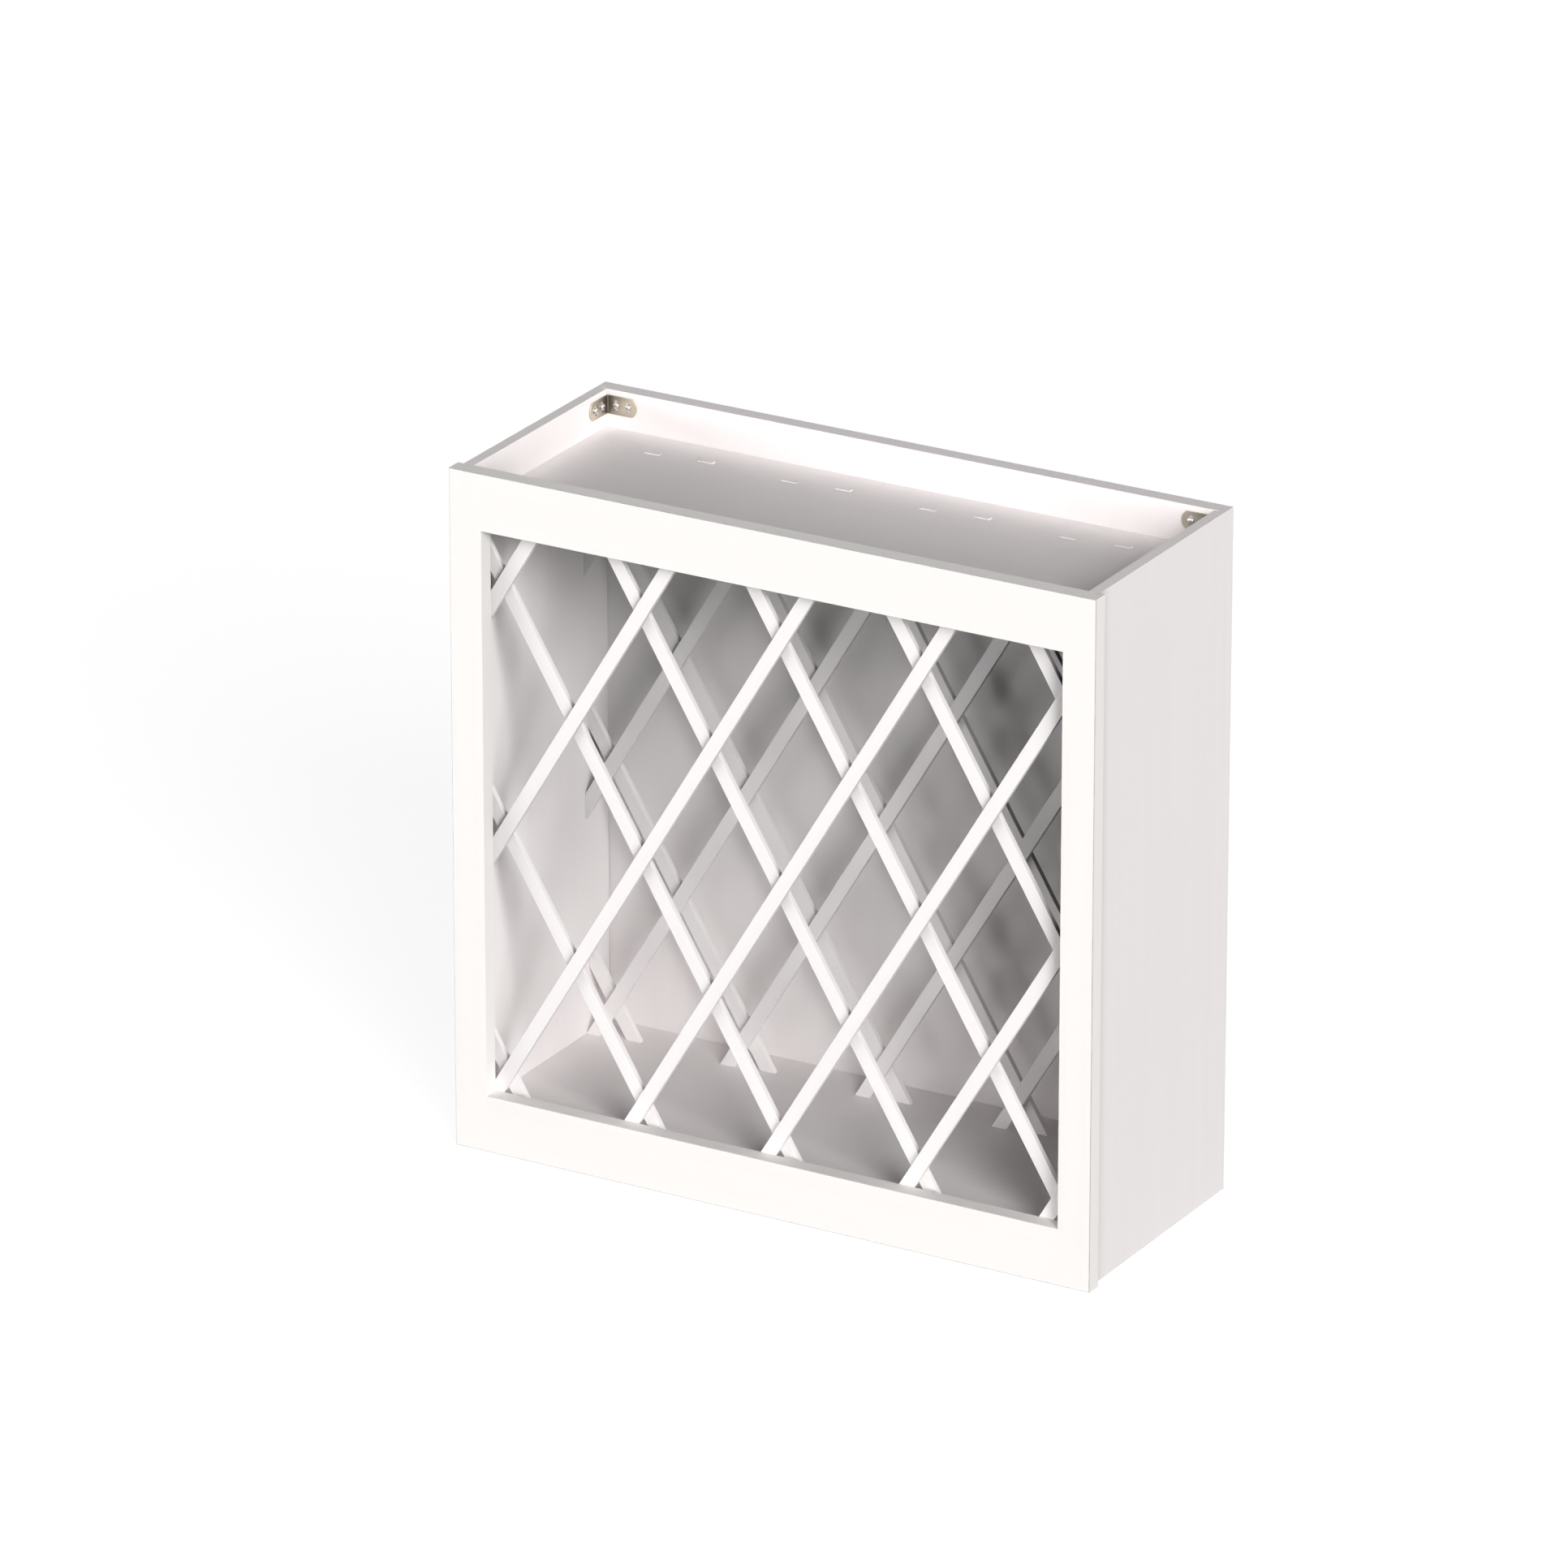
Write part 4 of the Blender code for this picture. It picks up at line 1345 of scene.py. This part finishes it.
@dataclass
class CornerBracket:
    """A bent steel strip with bowed ends and two upright slots in each leg.

    It is made as the real one is: a flat blank is cut out and pierced, and then folded.
    """

    corner_x: float = 0.36165
    corner_y: float = 0.1341
    leg: float = 0.037
    levels: Span = (0.7353, 0.7558)
    thickness: float = 0.0016
    bend_radius: float = 0.0016
    end_bulge: float = 0.0052
    end_steps: int = 24
    slot_width: float = 0.0056
    slot_height: float = 0.0125
    slot_places: Span = (0.0122, 0.0259)
    slot_steps: int = 16
    ease: float = 0.0003
    bend_cuts: int = 12
    fold_shade_reach: float = 0.013

    @property
    def middle_z(self) -> float:
        """Gives the height of the strip's middle line."""
        return sum(self.levels) / 2

    @property
    def outer_radius(self) -> float:
        """Gives the bend's radius on the wall's side."""
        return self.bend_radius + self.thickness

    @property
    def half_bend(self) -> float:
        """Gives half the length of strip that the bend takes up, along its middle."""
        return (self.bend_radius + self.thickness / 2) * math.pi / 4

    def along(self, place: float) -> float:
        """Gives the place on the flat blank of a distance from the corner."""
        return place - self.outer_radius + self.half_bend

    def blank(self) -> Shape:
        """Works out the flat blank, a strip with bowed ends: x along it, z up it, y through it."""
        half = (self.levels[1] - self.levels[0]) / 2
        reach = self.along(self.leg)
        ends = bows((0.0, self.middle_z), reach, half, self.end_bulge, self.end_steps)
        return prism(np.concatenate(ends), (0.0, self.thickness), (0, 2, 1), self.ease)

    def slots(self) -> Shape:
        """Works out the four slots, each two half rounds joined by straight sides."""
        radius = self.slot_width / 2
        straight = self.slot_height / 2 - radius
        ends = (-OVERRUN, self.thickness + OVERRUN)
        cutters = []
        for place in self.slot_places:
            for hand in (-1, 1):
                rounds = []
                for start, up in ((0.0, straight), (math.pi, -straight)):
                    middle = (hand * self.along(place), self.middle_z + up)
                    rounds.append(arc(middle, radius, start, math.pi, self.slot_steps))
                cutters.append(prism(np.concatenate(rounds), ends, (0, 2, 1)))
        return Shape.joined(cutters)

    def folded(self, flat: np.ndarray, side: Side) -> np.ndarray:
        """Folds the blank's points round the corner.

        With s the place along the strip, d the depth from the wall's side, R the outer
        radius and B half the bend's length: past B the strip runs along the back wall, at
        R + s - B from the side and d from the back; before -B it runs along the side wall;
        and between them it turns, at R - (R - d) sin(a) from the side and
        R - (R - d) cos(a) from the back, where a = (1 - s / B) x 45 degrees.

        Args:
            flat: The blank's points.
            side: Which corner of the cabinet.

        Returns:
            The folded points.
        """
        strip, depth, height = flat.T
        radius, bend = self.outer_radius, self.half_bend
        held = np.clip(strip, -bend, bend)
        angle = (1 - held / bend) * math.pi / 4
        from_side = radius - (radius - depth) * np.sin(angle) + np.clip(strip - bend, 0, None)
        from_back = radius - (radius - depth) * np.cos(angle) + np.clip(-strip - bend, 0, None)
        across = side.value * (self.corner_x - from_side)
        return np.stack([across, self.corner_y - from_back, height], axis=-1)

    def build(self, side: Side, finishes: Finishes) -> None:
        """Makes one bracket: cuts, pierces, folds and dresses it.

        With s the place along the strip and r the reach of the painted shade, the "fold"
        attribute is e to the power of -(s / r) squared.

        Args:
            side: Which rear corner.
            finishes: The cabinet's materials.
        """
        piece = make_object(f"{side.label}_bracket", self.blank())
        carve(piece, [self.slots()])
        mesh = piece.data
        with edited(mesh) as bm:
            for place in np.linspace(-self.half_bend, self.half_bend, self.bend_cuts + 1):
                everything = bm.verts[:] + bm.edges[:] + bm.faces[:]
                spot, square = (float(place), 0.0, 0.0), (1.0, 0.0, 0.0)
                bmesh.ops.bisect_plane(bm, geom=everything, plane_co=spot, plane_no=square)
        flat = read_points(mesh)
        # The "fold" attribute places the painted shade in the bend.
        mark_points(mesh, "fold", np.exp(-((flat[:, 0] / self.fold_shade_reach) ** 2)))
        write_points(mesh, self.folded(flat.astype(float), side))
        with edited(mesh) as bm:
            bmesh.ops.recalc_face_normals(bm, faces=bm.faces[:])
        mesh.update()
        dress(piece, finishes.nickel, [f"corner_bracket_{side.label}"])


@dataclass
class PanHeadScrew:
    """A pan head wood screw with a cross recess and a rolled thread."""

    length: float = 0.011
    neck: float = 0.0002
    shank_radius: float = 0.0018
    root_radius: float = 0.0013
    shank_rings: int = 64
    thread_pitch: float = 0.0014
    point_length: float = 0.0022
    head_radius: float = 0.0036
    head_rim: float = 0.0007
    head_height: float = 0.0022
    seat_ease: float = 0.0001
    dome_steps: int = 10
    recess_width: float = 0.001
    recess_length: float = 0.004
    recess_depth: float = 0.0012
    recess_taper: float = 0.55
    around: int = 40

    def body(self) -> Shape:
        """Works out the turned body as a grid of height and angle.

        The head is an ellipse over its rim. On the shank the radius is
        root + (crest - root) x ridge, where ridge = 1 - |2 f - 1| and f is the fraction
        left over from height / pitch + angle / a full turn, and both taper to the point.

        Returns:
            The body along Z, with the seat of the head at 0.
        """
        shank_z = np.linspace(-self.length, -self.neck, self.shank_rings)
        dome = quarter_turn(self.dome_steps)[::-1]
        dome_z = self.head_rim + (self.head_height - self.head_rim) * np.sin(dome)
        head_z = np.concatenate([[0.0, 0.0, self.seat_ease], dome_z])
        seat_r = [self.shank_radius, self.head_radius - self.seat_ease, self.head_radius]
        head_r = np.concatenate([seat_r, self.head_radius * np.cos(dome)])
        angles = np.linspace(0.0, math.tau, self.around, endpoint=False)
        turns = shank_z[:, None] / self.thread_pitch + angles[None] / math.tau
        ridge = 1 - np.abs(2 * (turns % 1.0) - 1)
        taper = np.clip((shank_z + self.length) / self.point_length, 0.0, 1.0)[:, None]
        shank_r = taper * (self.root_radius + (self.shank_radius - self.root_radius) * ridge)
        radius = np.concatenate([shank_r, np.repeat(head_r[:, None], self.around, axis=1)])
        height = np.concatenate([shank_z, head_z])[:, None] + np.zeros((1, self.around))
        grid = np.stack([radius * np.cos(angles), radius * np.sin(angles), height], axis=-1)
        faces = grid_quads(len(radius), self.around, closed=True)
        return Shape(grid.reshape(-1, 3), faces, np.zeros(radius.size))

    def recess(self, turn: float) -> Shape:
        """Works out the cross-shaped driver recess, narrower at its floor.

        Args:
            turn: Angle of the cross about the screw, in radians.

        Returns:
            The cutter.
        """
        half, tip = self.recess_width / 2, self.recess_length / 2
        arm = np.array([(tip, -half), (tip, half), (half, half)])
        quarters = turn + np.arange(4) * math.pi / 2
        cosine, sine = np.cos(quarters), np.sin(quarters)
        turns = np.stack([np.stack([cosine, -sine], -1), np.stack([sine, cosine], -1)], axis=1)
        outline = np.einsum("qij,pj->qpi", turns, arm).reshape(-1, 2)
        floor_z = self.head_height - self.recess_depth
        cutter = prism(outline, (floor_z, self.head_height + OVERRUN), (0, 1, 2))
        at_floor = cutter.points[:, 2] < floor_z + WELD_DISTANCE
        cutter.points[:, :2] *= np.where(at_floor, self.recess_taper, 1.0)[:, None]
        return cutter

    def build(self, name: str, node: str, turn: float, seat: Seat, finishes: Finishes) -> None:
        """Makes one screw in its seat.

        Args:
            name: Name of the piece.
            node: CAD node that it stands for.
            turn: How far its driver recess is turned, in radians.
            seat: Matrix and place that carry it from the origin to its hole.
            finishes: The cabinet's materials.
        """
        piece = make_object(name, self.body())
        carve(piece, [self.recess(turn)])
        matrix, place = seat
        write_points(piece.data, read_points(piece.data) @ matrix.T + np.asarray(place))
        dress(piece, finishes.zinc, [node])


@dataclass
class CornerHardware:
    """The two corner brackets, each with its four screws, no two of them turned alike."""

    bracket: CornerBracket
    screw: PanHeadScrew
    first_turn: float = 0.35
    turn_step: float = 0.9

    def seat(self, side: Side, leg: Leg, place: float) -> Seat:
        """Works out where a screw sits and which way its head looks.

        Args:
            side: Which bracket.
            leg: Which of its legs.
            place: Distance from the corner.

        Returns:
            The turn as a matrix and the place of the head's seat.
        """
        proud = self.bracket.thickness + CLEARANCE
        corner_x, corner_y = self.bracket.corner_x, self.bracket.corner_y
        hand, middle_z = float(side.value), self.bracket.middle_z
        if leg is Leg.BACK:
            matrix = np.array([(1.0, 0.0, 0.0), (0.0, 0.0, -1.0), (0.0, 1.0, 0.0)])
            return matrix, (hand * (corner_x - place), corner_y - proud, middle_z)
        matrix = np.array([(0.0, 0.0, -hand), (0.0, 1.0, 0.0), (hand, 0.0, 0.0)])
        return matrix, (hand * (corner_x - proud), corner_y - place, middle_z)

    def build(self, finishes: Finishes) -> None:
        """Makes both brackets and their screws.

        Args:
            finishes: The cabinet's materials.
        """
        for side in Side:
            self.bracket.build(side, finishes)
            places = [(leg, place) for leg in Leg for place in self.bracket.slot_places]
            for number, (leg, place) in enumerate(places, start=1):
                turn = self.first_turn + self.turn_step * number + side.value
                name = f"{side.label}_bracket_screw_{number}"
                node = f"bracket_screw_{side.label}_{number}"
                self.screw.build(name, node, turn, self.seat(side, leg, place), finishes)


# Studio


def look_from(item: bpy.types.Object, azimuth: float, elevation: float) -> Vector:
    """Turns a lamp or the camera so that it looks at the cabinet from a bearing.

    Args:
        item: The lamp or camera.
        azimuth: Bearing in degrees, 0 before the cabinet and 90 to its right.
        elevation: Height above the horizon, in degrees.

    Returns:
        The unit vector towards the bearing.
    """
    around, up = math.radians(azimuth), math.radians(elevation)
    level = math.cos(up)
    away = Vector((math.sin(around) * level, -math.cos(around) * level, math.sin(up)))
    item.rotation_mode = "QUATERNION"
    item.rotation_quaternion = away.to_track_quat("Z", "Y")
    return away


@dataclass(frozen=True)
class SoftLamp:
    """A wide, distant lamp.

    Attributes:
        name: Name of the lamp.
        azimuth: Bearing of the lamp in degrees, 0 before the cabinet and 90 to its right.
        elevation: Height of the lamp above the horizon, in degrees.
        spread: How wide the lamp looks from the cabinet, in degrees.
        strength: Light that it gives.
        distance: How far off its marker stands, which doesn't change its light.
    """

    name: str
    azimuth: float
    elevation: float
    spread: float
    strength: float
    distance: float = 4.0

    def build(self) -> None:
        """Adds the lamp to the scene."""
        data = bpy.data.lights.new(self.name, "SUN")
        data.energy = self.strength
        data.angle = math.radians(self.spread)
        lamp = add_object(self.name, data)
        lamp.location = look_from(lamp, self.azimuth, self.elevation) * self.distance


@dataclass
class Studio:
    """A plain pale floor, soft lamps, a white surround and the camera."""

    floor_half: float = 40.0
    floor_grey: float = 0.25
    floor_glow: float = 0.9
    azimuth: float = 30.06
    elevation: float = 21.88
    camera_place: Place = (5.79704, -10.13602, 5.12288)
    lens: float = 278.32
    sensor: float = 36.0
    view_end: float = 100.0

    lamps: tuple[SoftLamp, ...] = (
        SoftLamp("key_lamp", 47.0, 29.0, 24.0, 1.83),
        SoftLamp("side_lamp", 54.0, 9.0, 30.0, 1.9),
        SoftLamp("left_lamp", -70.0, 2.0, 24.0, 1.5),
        SoftLamp("left_front_lamp", -52.0, 2.0, 24.0, 1.2),
        SoftLamp("front_lamp", -15.0, 3.0, 40.0, 0.56),
        SoftLamp("rear_lamp", 184.0, 1.0, 18.0, 3.4),
    )

    def floor(self) -> None:
        """Makes the floor, which shows white to the camera and keeps the cabinet's shadow."""
        reach = self.floor_half
        corners = [(x, y, -CLEARANCE) for x, y in rectangle((-reach, -reach), (reach, reach))]
        mesh = bpy.data.meshes.new("studio_floor")
        mesh.from_pydata(corners, [], [(0, 1, 2, 3)])
        floor = add_object("studio_floor", mesh)
        material = bpy.data.materials.new("studio_floor")
        material.use_nodes = True
        tree = material.node_tree
        tree.nodes.remove(tree.nodes["Principled BSDF"])
        wiring = Wiring(tree)
        grey = (self.floor_grey, self.floor_grey, self.floor_grey, 1.0)
        matt = wiring.add("ShaderNodeBsdfDiffuse", {"Color": grey})
        glow = wiring.add("ShaderNodeEmission", {"Strength": self.seen_share(wiring, self.floor_glow)})
        both = wiring.add("ShaderNodeAddShader", {0: matt.outputs[0], 1: glow.outputs[0]})
        tree.links.new(both.outputs[0], tree.nodes["Material Output"].inputs["Surface"])
        mesh.materials.append(material)

    @staticmethod
    def seen_share(wiring: Wiring, strength: float) -> Socket:
        """Gives a strength for what is seen, straight or in gloss or glass, and 0 for light.

        Args:
            wiring: Wiring for the tree.
            strength: The strength when seen.

        Returns:
            The socket.
        """
        rays = wiring.add("ShaderNodeLightPath").outputs
        gloss = wiring.math("MAXIMUM", rays["Is Glossy Ray"], rays["Is Transmission Ray"])
        seen = wiring.math("MAXIMUM", rays["Is Camera Ray"], gloss)
        return wiring.math("MULTIPLY", seen, strength)

    def surround(self) -> None:
        """Makes the world, white where it is seen. It gives the cabinet no light."""
        world = bpy.data.worlds.new("studio_surround")
        bpy.context.scene.world = world
        world.use_nodes = True
        tree = world.node_tree
        background = tree.nodes["Background"]
        background.inputs["Color"].default_value = (1.0, 1.0, 1.0, 1.0)
        tree.links.new(self.seen_share(Wiring(tree), 1.0), background.inputs["Strength"])

    def camera(self) -> None:
        """Places the camera at the photograph's angle."""
        data = bpy.data.cameras.new("camera")
        data.sensor_width = self.sensor
        data.lens = self.lens
        data.clip_end = self.view_end
        camera = add_object("camera", data)
        camera.location = self.camera_place
        look_from(camera, self.azimuth, self.elevation)
        bpy.context.scene.camera = camera

    def build(self) -> None:
        """Makes the whole studio."""
        self.camera()
        self.floor()
        self.surround()
        for lamp in self.lamps:
            lamp.build()
        bpy.context.scene.view_settings.view_transform = "Standard"
        LOG.info("studio: %d lamps, floor, surround and camera", len(self.lamps))


def main() -> None:
    """Builds the studio and every sub-assembly in order."""
    logging.basicConfig(level=logging.INFO, format="%(name)s: %(message)s")
    Studio().build()
    finishes = Finishes(Effects())
    lattices = [BottleLattice("front", -0.13305), BottleLattice("rear", 0.0848)]
    hardware = CornerHardware(CornerBracket(), PanHeadScrew())
    FaceFrame().build(finishes)
    CabinetBox().build(finishes, lattices, hardware.bracket.slot_places)
    for lattice in lattices:
        lattice.build(finishes)
    hardware.build(finishes)


if __name__ == "__main__":
    main()
